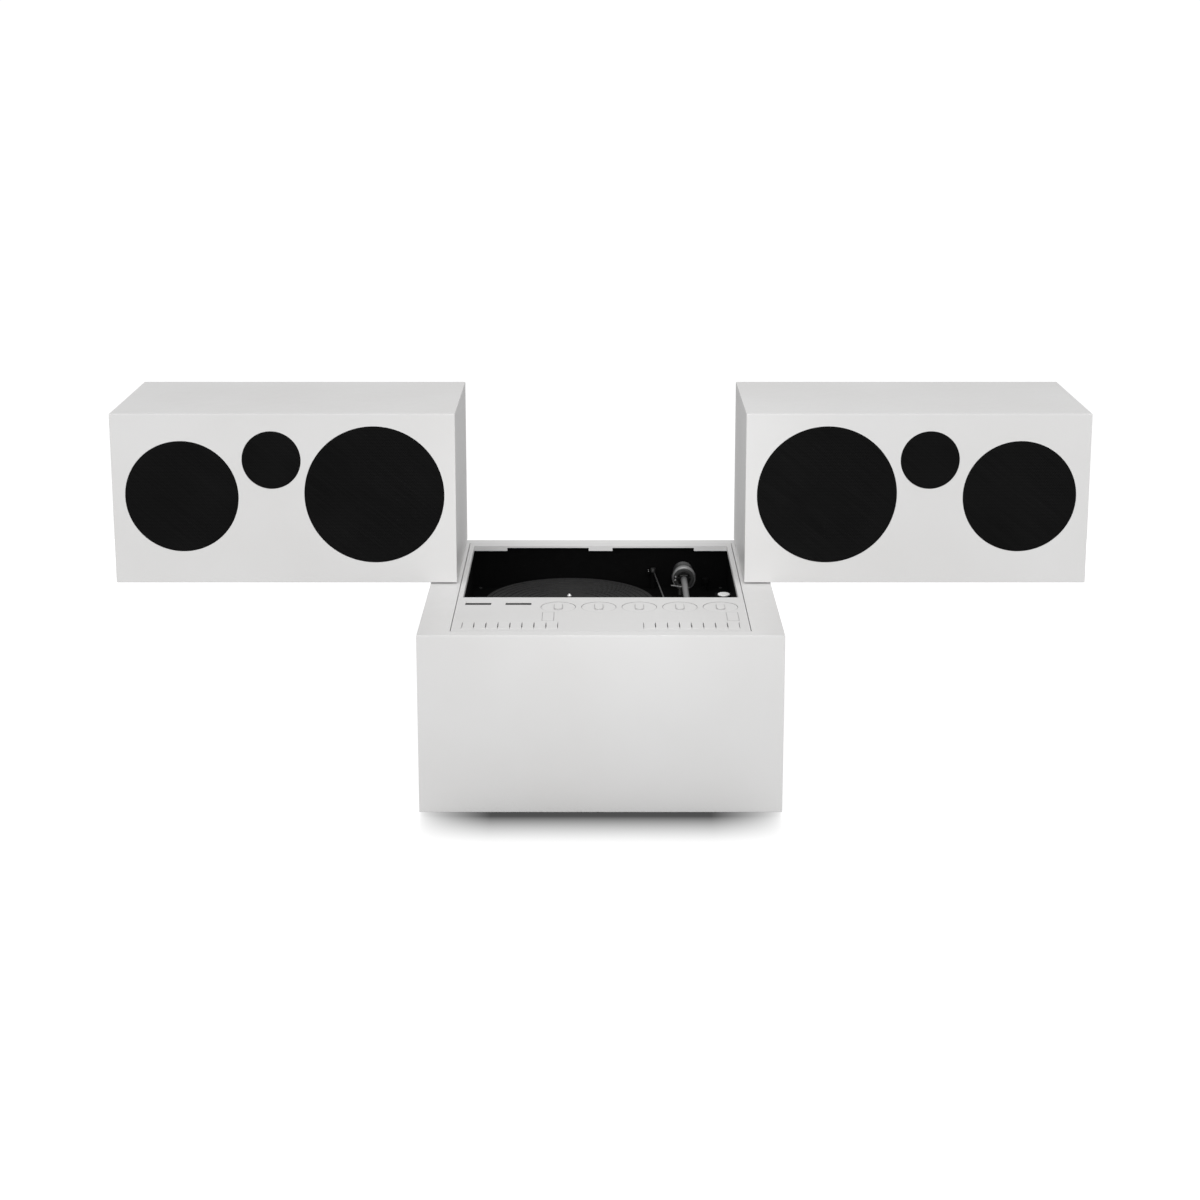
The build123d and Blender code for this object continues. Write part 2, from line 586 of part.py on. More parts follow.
def platter_mat():
    """The rubber mat, with concentric raised ribs."""
    outer = PLATTER_RADIUS - MAT_MARGIN
    inner = BOSS_RADIUS + SLIDE_GAP
    label = 50.0
    step = (outer - label) / MAT_RIBS
    low = MAT_TOP - MAT_RIB_DEPTH
    outline = [(inner, PLATTER_TOP), (outer, PLATTER_TOP)]
    for i in range(MAT_RIBS):
        out = outer - i * step
        back = out - 0.7 * step
        outline += [(out, low), (out - 0.5, MAT_TOP), (back, MAT_TOP), (back - 0.5, low)]
    outline += [(inner, low)]
    return turned(outline, PLATTER_X, PLATTER_Y)


def drive_motor():
    """The platter's motor, hung under the tub floor."""
    top = FLOOR_BOTTOM
    can = post(MOTOR_X, MOTOR_Y, top - MOTOR_LENGTH, top - 3, MOTOR_RADIUS)
    can = fillet(can.edges().group_by(Axis.Z)[0], 3)
    plate = Pos(MOTOR_X, MOTOR_Y, top - 3) * Box(76, 66, 3, align=(Align.CENTER, Align.CENTER, Align.MIN))
    plate = fillet(plate.edges().filter_by(Axis.Z), 8)
    motor = can + plate
    return motor - post(MOTOR_X, MOTOR_Y, top - 22, top + 1, PULLEY_SHAFT_RADIUS + SHAFT_GAP)


def motor_pulley():
    """The crowned pulley on the motor's shaft."""
    low = FLOOR_BOTTOM - 21
    outline = [
        (0, low), (PULLEY_SHAFT_RADIUS, low), (PULLEY_SHAFT_RADIUS, FLOOR_BOTTOM + 1),
        (PULLEY_RADIUS + 0.8, FLOOR_BOTTOM + 1), (PULLEY_RADIUS + 0.8, BELT_Z - 0.6),
        (PULLEY_RADIUS, BELT_Z - 0.4), (PULLEY_RADIUS, BELT_Z + BELT_WIDTH + 0.4),
        (PULLEY_RADIUS + 0.8, BELT_Z + BELT_WIDTH + 0.6), (PULLEY_RADIUS + 0.8, BELT_Z + BELT_WIDTH + 1.6),
        (0, BELT_Z + BELT_WIDTH + 1.6),
    ]
    return turned(outline, MOTOR_X, MOTOR_Y)


def belt_outline(offset):
    """The loop round the belt rim and the pulley, at a distance outside both."""
    big = SUB_RIM_RADIUS + offset
    small = PULLEY_RADIUS + offset
    lean = math.acos((big - small) / MOTOR_REACH)
    heading = math.radians(MOTOR_ANGLE)

    def at(x, y, radius, angle):
        return x + radius * math.cos(angle), y + radius * math.sin(angle)

    far = at(PLATTER_X, PLATTER_Y, big, heading + math.pi)
    near = at(MOTOR_X, MOTOR_Y, small, heading)
    big_left = at(PLATTER_X, PLATTER_Y, big, heading + lean)
    big_right = at(PLATTER_X, PLATTER_Y, big, heading - lean)
    small_left = at(MOTOR_X, MOTOR_Y, small, heading + lean)
    small_right = at(MOTOR_X, MOTOR_Y, small, heading - lean)
    loop = [
        ThreePointArc(big_left, far, big_right),
        Line(big_right, small_right),
        ThreePointArc(small_right, near, small_left),
        Line(small_left, big_left),
    ]
    return make_face(Wire([e for part in loop for e in part.edges()]))


def drive_belt():
    """The flat belt round the platter's inner rim and the motor pulley."""
    ring = belt_outline(SLIDE_GAP + BELT_THICKNESS) - belt_outline(SLIDE_GAP)
    return extrude(Pos(0, 0, BELT_Z) * ring, BELT_WIDTH)


def tonearm_base():
    """The pillar that carries the arm, with its flange on the tub floor."""
    top = ARM_Z - RING_RADIUS - 0.6
    outline = [
        (ARM_PIVOT_RADIUS + SHAFT_GAP, FLOOR_TOP), (ARM_FLANGE_RADIUS, FLOOR_TOP),
        (ARM_FLANGE_RADIUS, FLOOR_TOP + 4), (ARM_PILLAR_RADIUS, FLOOR_TOP + 6),
        (ARM_PILLAR_RADIUS, top), (ARM_PIVOT_RADIUS + SHAFT_GAP, top),
    ]
    return turned(outline, ARM_X, ARM_Y)


def lying(points):
    """A solid of revolution about the arm's axis, from (radius, distance behind the arm's pivot) points."""
    outline = Polyline(*[(r, 0, d) for r, d in points], close=True)
    return Pos(ARM_X, ARM_Y, ARM_Z) * Rot(-90, 0, 0) * revolve(make_face(outline), Axis.Z)


def tonearm_yoke():
    """The gimbal ring: it turns on the pillar and holds the arm's trunnions."""
    half = RING_LENGTH / 2
    inner = RING_RADIUS - RING_WALL
    bevel = RING_BEVEL
    seat = RING_RADIUS - RING_LIP
    ring = lying([
        (inner, RING_RECESS - half), (seat, RING_RECESS - half), (seat, -half),
        (RING_RADIUS - bevel, -half), (RING_RADIUS, bevel - half), (RING_RADIUS, half - bevel),
        (RING_RADIUS - bevel, half), (inner, half),
    ])
    hole = Cylinder(TRUNNION_RADIUS + SHAFT_GAP, 2 * RING_RADIUS + 2)
    ring -= Pos(ARM_X, ARM_Y, ARM_Z) * Rot(0, 90, 0) * hole
    foot = ARM_Z - RING_RADIUS + RING_WALL / 2
    return ring + post(ARM_X, ARM_Y, FLOOR_TOP + 1, foot, ARM_PIVOT_RADIUS)


def tonearm_tube():
    """The arm's tube, with its bearing block, trunnions and the stub for the counterweight."""
    tube = along_y(ARM_X, HEAD_Y - 10, ARM_Y - 6, ARM_Z, ARM_TUBE_RADIUS)
    tube -= Pos(ARM_X, HEAD_Y, ARM_Z) * Rot(0, 0, -ARM_HEAD_ANGLE) * block(-20, 20, -30, 0, -10, 10)
    centre = soft_block(ARM_X - 7, ARM_X + 7, ARM_Y - 7, ARM_Y + 7, ARM_Z - 6.5, ARM_Z + 6.5, 1.5)
    trunnion = Pos(ARM_X, ARM_Y, ARM_Z) * Rot(0, 90, 0) * Cylinder(TRUNNION_RADIUS, 2 * RING_RADIUS - 3)
    stub = along_y(ARM_X, ARM_Y + 5, ARM_Y + STUB_LENGTH, ARM_Z, STUB_RADIUS)
    return tube + centre + trunnion + stub


def headshell():
    """The angled headshell with its cartridge, stylus arm and finger lift."""
    y1 = ARM_HEAD_LENGTH
    plate = soft_block(-8, 8, 0, y1 - 7, -2.2, 2.2, 1.0)
    collar = along_y(0, y1 - 9, y1, 0, ARM_TUBE_RADIUS + 1)
    cartridge = block(-7, 7, 4, 21, -NEEDLE_REACH + 4, -2)
    needle = Pos(0, 5, -NEEDLE_REACH + 2.2) * Box(2, 9, 4.4)
    finger = Pos(12, 6, 1) * Rot(0, -12, 0) * Box(12, 5, 1.4)
    shell = plate + collar + cartridge + needle + finger
    return Pos(ARM_X, HEAD_Y, ARM_Z) * Rot(0, 0, -ARM_HEAD_ANGLE) * Pos(0, -y1, 0) * shell


def counterweight():
    """The stepped weight on the arm's rear stub."""
    y0 = RING_LENGTH / 2 + WEIGHT_GAP
    y1 = y0 + WEIGHT_LENGTH
    bore = STUB_RADIUS + SHAFT_GAP
    bevel = WEIGHT_BEVEL
    return lying([
        (bore, y0), (WEIGHT_RADIUS - bevel, y0), (WEIGHT_RADIUS, y0 + bevel), (WEIGHT_RADIUS, y0 + 7),
        (WEIGHT_RADIUS - 1.2, y0 + 7), (WEIGHT_RADIUS - 1.2, y0 + 9), (WEIGHT_RADIUS, y0 + 9),
        (WEIGHT_RADIUS, y1 - bevel), (WEIGHT_RADIUS - bevel, y1), (bore, y1),
    ])


def lift_bar():
    """The bar that raises the arm off the record, on its sliding post."""
    top = ARM_Z - ARM_TUBE_RADIUS - LIFT_BAR_GAP
    z = top - LIFT_BAR_RADIUS
    bar = Pos(LIFT_BAR_X, LIFT_BAR_Y, z) * Rot(0, 0, LIFT_BAR_TURN) * Rot(0, 90, 0) * Cylinder(
        LIFT_BAR_RADIUS, LIFT_BAR_LENGTH
    )
    return bar + post(LIFT_BAR_X, LIFT_BAR_Y, FLOOR_TOP - 2, z, LIFT_POST_RADIUS)


def cue_lever():
    """The slim lever that works the lift bar, on a pin at the back of the well."""
    z = TOP - CUE_DROP
    rod = Pos(0, -CUE_LENGTH / 2, 0) * Rot(90, 0, 0) * Cylinder(CUE_ROD_RADIUS, CUE_LENGTH)
    hub = Cylinder(4, 6)
    pad = soft_block(-4, 4, -CUE_LENGTH - 8, -CUE_LENGTH + 4, -1.4, 1.4, 0.6)
    pin = Pos(0, 0, -12) * Cylinder(1.5, 22)
    lever = Rot(0, 0, CUE_SPLAY) * (rod + hub + pad) + pin
    return Pos(CUE_X, CUE_Y, z) * lever


def start_button():
    """The round white button of the record player."""
    cap = post(START_X, START_Y, START_TOP - 2, START_TOP, START_RADIUS)
    cap = fillet(cap.edges().group_by(Axis.Z)[-1], 1.2)
    return cap + post(START_X, START_Y, START_TOP - 12, START_TOP - 2, 4)


def pivot_bearings():
    """Two flanged bushes, one in each rear corner block."""
    inner = PIVOT_SHAFT_RADIUS + SHAFT_GAP
    low = TOP - PIVOT_SHAFT_LENGTH
    flange_top = TOP + SPEAKER_LIFT - SLIDE_GAP
    outline = [
        (inner, low), (BUSH_RADIUS, low), (BUSH_RADIUS, TOP), (BUSH_FLANGE_RADIUS, TOP),
        (BUSH_FLANGE_RADIUS, flange_top), (inner, flange_top),
    ]
    return [turned(outline, side * PIVOT_X, PIVOT_Y) for side in (-1, 1)]


def socket_plate():
    """The rear connector plate with its mains inlet, fuse, round sockets and terminals."""
    half = CONNECTOR_WIDTH / 2
    z0 = BOTTOM_TOP + CONNECTOR_LIFT
    middle = z0 + CONNECTOR_HEIGHT / 2
    face = INNER_Y - 2
    plate = block(-half - 12, half + 12, face, INNER_Y, BOTTOM_TOP, z0 + CONNECTOR_HEIGHT + 8)
    inlet = block(-half + 10, -half + 44, face, INNER_Y + 6, middle - 12, middle + 12)
    inlet -= block(-half + 14, -half + 40, face - 1, INNER_Y + 7, middle - 8, middle + 8)
    inlet += block(-half + 12, -half + 42, face - 14, face - 12, middle - 10, middle + 10)
    for side in (-1, 1):
        wall_x = -half + 27 + side * 14
        inlet += block(wall_x - 1, wall_x + 1, face - 13, face + 1, middle - 10, middle + 10)
        wall_z = middle + side * 9
        inlet += block(-half + 12, -half + 42, face - 13, face + 1, wall_z - 1, wall_z + 1)
        inlet += along_y(-half + 27 + side * 6.5, face - 13, face + 1, middle, 1.8)
    plate -= block(-half + 14, -half + 40, face - 1, INNER_Y + 1, middle - 8, middle + 8)
    plate += inlet
    plate += along_y(-half + 64, face, INNER_Y + 8, middle, 7)
    for i in range(4):
        x = -half + 98 + 26 * i
        plate += along_y(x, face, INNER_Y + 5, middle, 9.5)
        plate -= along_y(x, INNER_Y + 1.5, INNER_Y + 6, middle, 7.2)
    for i in range(3):
        plate += along_y(half - 42 + 14 * i, face, INNER_Y + 7, middle, 4)
    return plate


def amplifier_chassis():
    """The electronics: tray, transformer, reservoir capacitors, heat sink, boards and connector plate."""
    half = INNER_X - CHASSIS_SIDE_GAP
    front = -INNER_Y + CHASSIS_FRONT_GAP
    z = BOTTOM_TOP + CHASSIS_THICKNESS
    pieces = [socket_plate(), block(-half, half, front, INNER_Y - 2, BOTTOM_TOP, z)]
    x0 = -half + TRANSFORMER_SIDE
    y0 = front + TRANSFORMER_FRONT
    x1 = x0 + TRANSFORMER_WIDTH
    y1 = y0 + TRANSFORMER_LENGTH
    top = z + TRANSFORMER_HEIGHT
    core = block(x0, x1, y0, y1, z, top)
    pieces.append(core + soft_block(x0 + 20, x1 - 20, y0 - 15, y1 + 15, z + 10, top - 10, 6))
    for i in range(2):
        x = x0 + 30 + (2 * CAPACITOR_RADIUS + CAPACITOR_SPACING) * i
        pieces.append(post(x, y1 + CAPACITOR_SETBACK, z, z + CAPACITOR_HEIGHT, CAPACITOR_RADIUS))
    sink_x1 = half - HEAT_SINK_SIDE
    sink_x0 = sink_x1 - (HEAT_SINK_FINS - 1) * FIN_PITCH - FIN_THICKNESS - 2
    sink_y = HEAT_SINK_LENGTH / 2
    fins = block(sink_x0 - 2, sink_x1 + 2, -sink_y, sink_y, z, z + 8)
    for i in range(HEAT_SINK_FINS):
        x = sink_x0 + 1 + FIN_PITCH * i
        fins += block(x, x + FIN_THICKNESS, -sink_y, sink_y, z + 7, z + FIN_HEIGHT)
    pieces.append(fins)
    pieces.append(block(x1 + 40, sink_x0 - 10, y0 - 30, y0 + 250, z, z + 16))
    board = block(
        -PANEL_X + 2, PANEL_X - 2, -INNER_Y + 14, TUB_Y0 - 2, BOARD_TOP - CONTROL_BOARD_THICKNESS, BOARD_TOP
    )
    pieces.append(board + control_bodies())
    return pieces


def control_bodies():
    """What stands on the control board: a potentiometer under each knob, a switch under each key row."""
    bodies = None
    for x in KNOB_CENTRES:
        pot = post(x, KNOB_Y, BOARD_TOP - 0.5, BOARD_TOP + POT_HEIGHT, POT_RADIUS)
        pot -= post(x, KNOB_Y, BOARD_TOP + 1.5, BOARD_TOP + POT_HEIGHT + 1, KNOB_SHAFT_RADIUS + SHAFT_GAP)
        bodies = pot if bodies is None else bodies + pot
    switch_top = TOP - KEY_BODY - 6 - KEY_TRAVEL - SLIDE_GAP
    y0, y1 = KEY_Y0 + 5, KEY_Y0 + KEY_LENGTH - 4
    for x0 in (-KEY_INNER - KEY_ROW, KEY_INNER):
        bodies += block(x0 + 2, x0 + KEY_ROW - 2, y0, y1, BOARD_TOP - 0.5, switch_top)
    for x in (LEFT_WIDE_KEY_X, RIGHT_WIDE_KEY_X):
        bodies += block(x - 6, x + 6, WIDE_KEY_Y - 12, WIDE_KEY_Y + 12, BOARD_TOP - 0.5, switch_top)
    lamp = METER_WIDTH / 2 - LAMP_MARGIN
    lamp_top = TOP - METER_DEPTH - SLIDE_GAP
    for x in METER_CENTRES:
        bodies += block(x - lamp, x + lamp, METER_Y - 8, METER_Y + 8, BOARD_TOP - 0.5, lamp_top)
    return bodies


# The left loudspeaker, open. The right one is its mirror image.
BOX_X1 = -PIVOT_X + PIVOT_INSET
BOX_X0 = BOX_X1 - SPEAKER_LENGTH
BOX_Y1 = PIVOT_Y + PIVOT_INSET
BOX_Y0 = BOX_Y1 - SPEAKER_DEPTH
BOX_Z0 = SPEAKER_Z
BOX_Z1 = SPEAKER_Z + SPEAKER_HEIGHT
DRIVERS = {
    "woofer": (WOOFER_RADIUS, WOOFER_ALONG, WOOFER_UP, WOOFER_BODY),
    "midrange": (MID_RADIUS, MID_ALONG, MID_UP, MID_BODY),
    "tweeter": (TWEETER_RADIUS, TWEETER_ALONG, TWEETER_UP, TWEETER_BODY),
}


def facing(profile_points, along, up):
    """A solid of revolution about a driver's axis, from (radius, depth behind the baffle's face) points."""
    outline = Polyline(*[(r, 0, -d) for r, d in profile_points], close=True)
    solid = revolve(make_face(outline), Axis.Z)
    return Pos(BOX_X1 - along, BOX_Y0, BOX_Z0 + up) * Rot(90, 0, 0) * solid


def speaker_cabinet():
    """The box: baffle with three stepped openings, four walls, and a rebate for the back panel."""
    box = soft_block(BOX_X0, BOX_X1, BOX_Y0, BOX_Y1, BOX_Z0, BOX_Z1, EDGE_RADIUS)
    wall = SPEAKER_WALL
    seat = BOX_Y1 - BACK_RECESS - BACK_PANEL
    box -= block(BOX_X0 + wall, BOX_X1 - wall, BOX_Y0 + BAFFLE, BOX_Y1 + 1, BOX_Z0 + wall, BOX_Z1 - wall)
    edge = wall - BACK_REBATE
    box -= block(BOX_X0 + edge, BOX_X1 - edge, seat, BOX_Y1 + 1, BOX_Z0 + edge, BOX_Z1 - edge)
    for radius, along, up, _ in DRIVERS.values():
        step = GRILLE_DEPTH + FLANGE_STEP
        box -= facing([(0, -1), (radius, -1), (radius, step), (0, step)], along, up)
        bore = radius - DRIVER_LEDGE
        box -= facing([(0, 0), (bore, 0), (bore, BAFFLE + 1), (0, BAFFLE + 1)], along, up)
    x, y = -PIVOT_X, PIVOT_Y
    gap = SLIDE_GAP
    box -= block(
        x + PIVOT_PLATE_LIP - PIVOT_PLATE - gap, x + PIVOT_PLATE_LIP + gap,
        y + PIVOT_PLATE_LIP - PIVOT_PLATE - gap, y + PIVOT_PLATE_LIP + gap,
        BOX_Z0 - 1, BOX_Z0 + PIVOT_PLATE_THICKNESS,
    )
    box -= post(x, y, BOX_Z0, BOX_Z0 + 2 * wall, PIVOT_BORE_RADIUS)
    return box


def speaker_back_panel():
    """The board that closes the box from behind."""
    edge = SPEAKER_WALL - BACK_REBATE + SLIDE_GAP
    seat = BOX_Y1 - BACK_RECESS - BACK_PANEL
    return block(BOX_X0 + edge, BOX_X1 - edge, seat, seat + BACK_PANEL, BOX_Z0 + edge, BOX_Z1 - edge)


def speaker_grilles():
    """Three black dished grilles, one over each driver."""
    grilles = []
    for radius, along, up, _ in DRIVERS.values():
        outer = radius - SLIDE_GAP
        sheet = 1.2
        shoulder = 8.0
        points = [(0, 0.6), (outer - shoulder, 0.6)]
        for i in range(1, 5):
            turn = math.radians(i * 18)
            points.append((outer - shoulder + shoulder * math.sin(turn), 0.6 + 3 * (1 - math.cos(turn))))
        points += [(outer, 3.6), (outer, GRILLE_DEPTH), (outer - 2, GRILLE_DEPTH), (outer - 2, 4.4)]
        points += [(outer - shoulder, 0.6 + sheet), (0, 0.6 + sheet)]
        grilles.append(facing(points, along, up))
    return grilles


def cone_driver(kind):
    """A cone loudspeaker unit: pierced basket with its magnet, and the cone with surround and dust cap."""
    radius, along, up, depth = DRIVERS[kind]
    face = GRILLE_DEPTH
    back = face + FLANGE_STEP
    rim = radius - SLIDE_GAP
    throat = radius * 0.42
    neck = face + depth * 0.66
    end = face + depth
    lip = radius - DRIVER_LEDGE - SLIDE_GAP
    inner = lip - 3
    basket = facing(
        [
            (rim, face), (rim, back), (lip, back), (lip, back + 6), (throat + 3, neck),
            (throat + 3, neck + 4),
            (radius * 0.52, neck + 4), (radius * 0.52, end - 4), (radius * 0.44, end), (0, end), (0, neck),
            (throat, neck - 2), (inner, back + 5), (inner, face),
        ],
        along, up,
    )
    for i in range(6):
        window = facing(
            [
                (throat + 9, back + 9), (radius + 20, back + 9), (radius + 20, neck - 4),
                (throat + 9, neck - 4),
            ],
            along, up,
        )
        wedge = Pos(BOX_X1 - along, BOX_Y0 + face, BOX_Z0 + up) * Rot(0, 60 * i, 0) * Pos(radius / 2, 0, 0)
        basket -= window & (wedge * Pos(0, depth / 2, 0) * Box(radius, depth + 40, radius * 0.5))
    coil = radius * 0.24
    cone = facing(
        [
            (inner - SLIDE_GAP, face + 1.4), (inner - 5, face + 0.6), (inner - 10, face + 1.8),
            (inner - 12, face + 3),
            (coil, neck - 12), (coil * 0.6, neck - 15), (0, neck - 16.5), (0, neck - 15.3),
            (coil * 0.6, neck - 13.8), (coil, neck - 10.6), (inner - 11.5, face + 4.4),
            (inner - 9.5, face + 3.2), (inner - 5, face + 2.4), (inner - SLIDE_GAP, face + 2.4),
        ],
        along, up,
    )
    return [basket, cone]


def dome_driver():
    """The tweeter: face plate, dome and small magnet, all turned."""
    radius, along, up, depth = DRIVERS["tweeter"]
    face = GRILLE_DEPTH
    back = face + FLANGE_STEP
    dome = 13.0
    points = [(0, face - 1.5)]
    for i in range(1, 6):
        turn = math.radians(15 * i)
        points.append((dome * math.sin(turn), face - 1.5 + 4 * (1 - math.cos(turn))))
    points += [
        (dome + 0.5, face + 2.6), (dome + 9, face), (radius - SLIDE_GAP, face), (radius - SLIDE_GAP, back),
        (radius - DRIVER_LEDGE - SLIDE_GAP, back), (radius - DRIVER_LEDGE - SLIDE_GAP, back + 4),
        (radius * 0.7, back + 4), (radius * 0.7, face + depth), (0, face + depth),
    ]
    return facing(points, along, up)


def crossover():
    """The crossover board with its coils and capacitors, on the box's floor."""
    x = BOX_X1 - TWEETER_ALONG
    z = BOX_Z0 + SPEAKER_WALL
    y = BOX_Y1 - BACK_RECESS - BACK_PANEL - CROSSOVER_REAR_GAP - CROSSOVER_WIDTH / 2
    half_x = CROSSOVER_LENGTH / 2
    half_y = CROSSOVER_WIDTH / 2
    board = block(x - half_x, x + half_x, y - half_y, y + half_y, z, z + 3)
    for i in range(2):
        coil_x = x - half_x + COIL_RADIUS + 7 + i * (2 * COIL_RADIUS + 14)
        board += post(coil_x, y, z + 2, z + COIL_HEIGHT, COIL_RADIUS)
        board -= post(coil_x, y, z + 4, z + COIL_HEIGHT + 1, COIL_RADIUS - 10)
    for i in range(3):
        can = Rot(0, 90, 0) * Cylinder(CAN_RADIUS, CAN_LENGTH)
        board += Pos(x + half_x - CAN_LENGTH / 2 - 8, y + (i - 1) * CAN_PITCH, z + CAN_RADIUS + 2.5) * can
    return board


def pivot_shaft():
    """The steel plate under the box with its hollow shaft, which carries the leads."""
    x, y = -PIVOT_X, PIVOT_Y
    plate = block(
        x + PIVOT_PLATE_LIP - PIVOT_PLATE, x + PIVOT_PLATE_LIP, y + PIVOT_PLATE_LIP - PIVOT_PLATE,
        y + PIVOT_PLATE_LIP, BOX_Z0, BOX_Z0 + PIVOT_PLATE_THICKNESS,
    )
    plate = fillet(plate.edges().filter_by(Axis.Z), 3)
    shaft = plate + post(x, y, TOP - PIVOT_SHAFT_LENGTH, BOX_Z0 + 1, PIVOT_SHAFT_RADIUS)
    return shaft - post(x, y, TOP - PIVOT_SHAFT_LENGTH - 1, BOX_Z0 + 20, PIVOT_BORE_RADIUS)


def mirrored(shape):
    """The same shape on the other side of the middle plane."""
    if isinstance(shape, list):
        return [mirror(s, about=Plane.YZ) for s in shape]
    return mirror(shape, about=Plane.YZ)


def as_shape(thing):
    """A list of solids as one compound, and a single shape as it is."""
    if isinstance(thing, list):
        return Compound(children=[s for t in thing for s in t.solids()])
    return thing


def main():
    os.makedirs("parts", exist_ok=True)
    nodes = {
        "base_cabinet": base_cabinet(),
        "base_bottom_panel": base_bottom_panel(),
        "rubber_feet": rubber_feet(),
        "top_panel": top_panel(),
        "turntable_tub": turntable_tub(),
        "meter_windows": meter_windows(),
        "pivot_bearings": pivot_bearings(),
        "amplifier_chassis": amplifier_chassis(),
        "platter": platter(),
        "platter_mat": platter_mat(),
        "drive_motor": drive_motor(),
        "motor_pulley": motor_pulley(),
        "drive_belt": drive_belt(),
        "tonearm_base": tonearm_base(),
        "tonearm_yoke": tonearm_yoke(),
        "tonearm_tube": tonearm_tube(),
        "headshell": headshell(),
        "counterweight": counterweight(),
        "lift_bar": lift_bar(),
        "cue_lever": cue_lever(),
        "start_button": start_button(),
        "left_wide_key": wide_key(LEFT_WIDE_KEY_X),
        "right_wide_key": wide_key(RIGHT_WIDE_KEY_X),
    }
    for i, x in enumerate(KEY_CENTRES):
        nodes[f"left_key_{KEY_COUNT - i}"] = key(-x)
        nodes[f"right_key_{i + 1}"] = key(x)
    for i, x in enumerate(KNOB_CENTRES):
        nodes[f"knob_{i + 1}"] = knob(x)
    speaker = {
        "cabinet": speaker_cabinet(),
        "back_panel": speaker_back_panel(),
        "grilles": speaker_grilles(),
        "woofer": cone_driver("woofer"),
        "midrange": cone_driver("midrange"),
        "tweeter": dome_driver(),
        "crossover": crossover(),
        "pivot_shaft": pivot_shaft(),
    }
    for name, shape in speaker.items():
        nodes[f"left_speaker_{name}"] = shape
        nodes[f"right_speaker_{name}"] = mirrored(shape)
    for name, shape in nodes.items():
        save(name, as_shape(shape))
    print(len(nodes), "nodes written")


main()
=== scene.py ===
import bmesh
import bpy
import math
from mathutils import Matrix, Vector


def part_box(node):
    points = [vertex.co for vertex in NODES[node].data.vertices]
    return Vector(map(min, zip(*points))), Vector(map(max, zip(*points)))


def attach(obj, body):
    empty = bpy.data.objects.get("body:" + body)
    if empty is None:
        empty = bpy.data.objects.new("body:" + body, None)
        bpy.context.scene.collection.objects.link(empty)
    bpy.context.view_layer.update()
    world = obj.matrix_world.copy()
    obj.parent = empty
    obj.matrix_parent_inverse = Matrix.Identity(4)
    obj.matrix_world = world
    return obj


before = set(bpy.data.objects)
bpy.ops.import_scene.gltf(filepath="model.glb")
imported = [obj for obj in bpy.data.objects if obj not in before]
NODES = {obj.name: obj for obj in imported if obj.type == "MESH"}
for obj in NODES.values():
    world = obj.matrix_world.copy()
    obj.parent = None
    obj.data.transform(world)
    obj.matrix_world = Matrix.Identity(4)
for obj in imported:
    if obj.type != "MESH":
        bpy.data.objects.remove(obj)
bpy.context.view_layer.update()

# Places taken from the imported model, in metres
MM = 0.001
SIDES = ("left", "right")
KNOB_COUNT = 5
BASE_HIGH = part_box("base_cabinet")[1]
TUB_LOW, TUB_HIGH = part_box("turntable_tub")
YOKE_LOW, YOKE_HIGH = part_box("tonearm_yoke")
HEAD_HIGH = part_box("headshell")[1]
LEVER_LOW, LEVER_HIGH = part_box("cue_lever")
BOARD_LOW, BOARD_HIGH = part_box("base_bottom_panel")
FEET_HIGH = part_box("rubber_feet")[1]
PLATTER_LOW, PLATTER_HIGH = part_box("platter")
KNOB_LOW, KNOB_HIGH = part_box("knob_1")
LAST_KNOB_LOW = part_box(f"knob_{KNOB_COUNT}")[0]
WIDE_KEYS = [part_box(f"{side}_wide_key") for side in SIDES]

# Camera, matched to the photograph: metres, radians and millimetres of lens
CAMERA_PLACE = (-0.00098, -3.0730, 1.1565)
CAMERA_PITCH = 0.2055
CAMERA_SENSOR = 36
CAMERA_LENS = 63.908
CAMERA_SHIFT = -0.15
CAMERA_FAR = 60

# Stage: a bright floor with a painted contact shadow that fades off past the base's edges, and a pale
# surround
FLOOR_HALF = 1.25
FLOOR_DROP = 0.2 * MM
FLOOR_TONE = 0.2
FLOOR_GLOW = 0.92
FLOOR_BOUNCE = 0.4
FLOOR_EDGE_GLOW = 1.05
FLOOR_EDGE_SPAN = (0.45, 0.9)
# Painted contact shadow on the floor: its depth, its reach past the base's front and back, its fade towards
# the corners and its fall-off
SHADE_DEPTH = 0.92
SHADE_REACH = 0.12
SHADE_CORNER = 0.1
SHADE_FALL = 1.5
SURROUND = 0.5
SURROUND_SEEN = 1.05

# Soft lights, each with a name, place, target, width in metres and power in watts
LIGHTS = (
    ("key_light", (-2.2, -4.2, 2.4), (0, 0, 0.35), 4.4, 98),
    ("fill_light", (2.0, -4.0, 1.2), (0, 0, 0.3), 3.8, 46),
    ("top_light", (0.3, -0.6, 3.4), (0, 0, 0.3), 3.2, 47),
)
WELL_LIGHT_PLACE = (0.15, -1.7, 1.15)
WELL_LIGHT_TARGET = (0.0, 0.24, 0.262)
WELL_LIGHT_CONE = math.radians(17)
WELL_LIGHT_POWER = 46
WELL_LIGHT_SIZE = 0.2

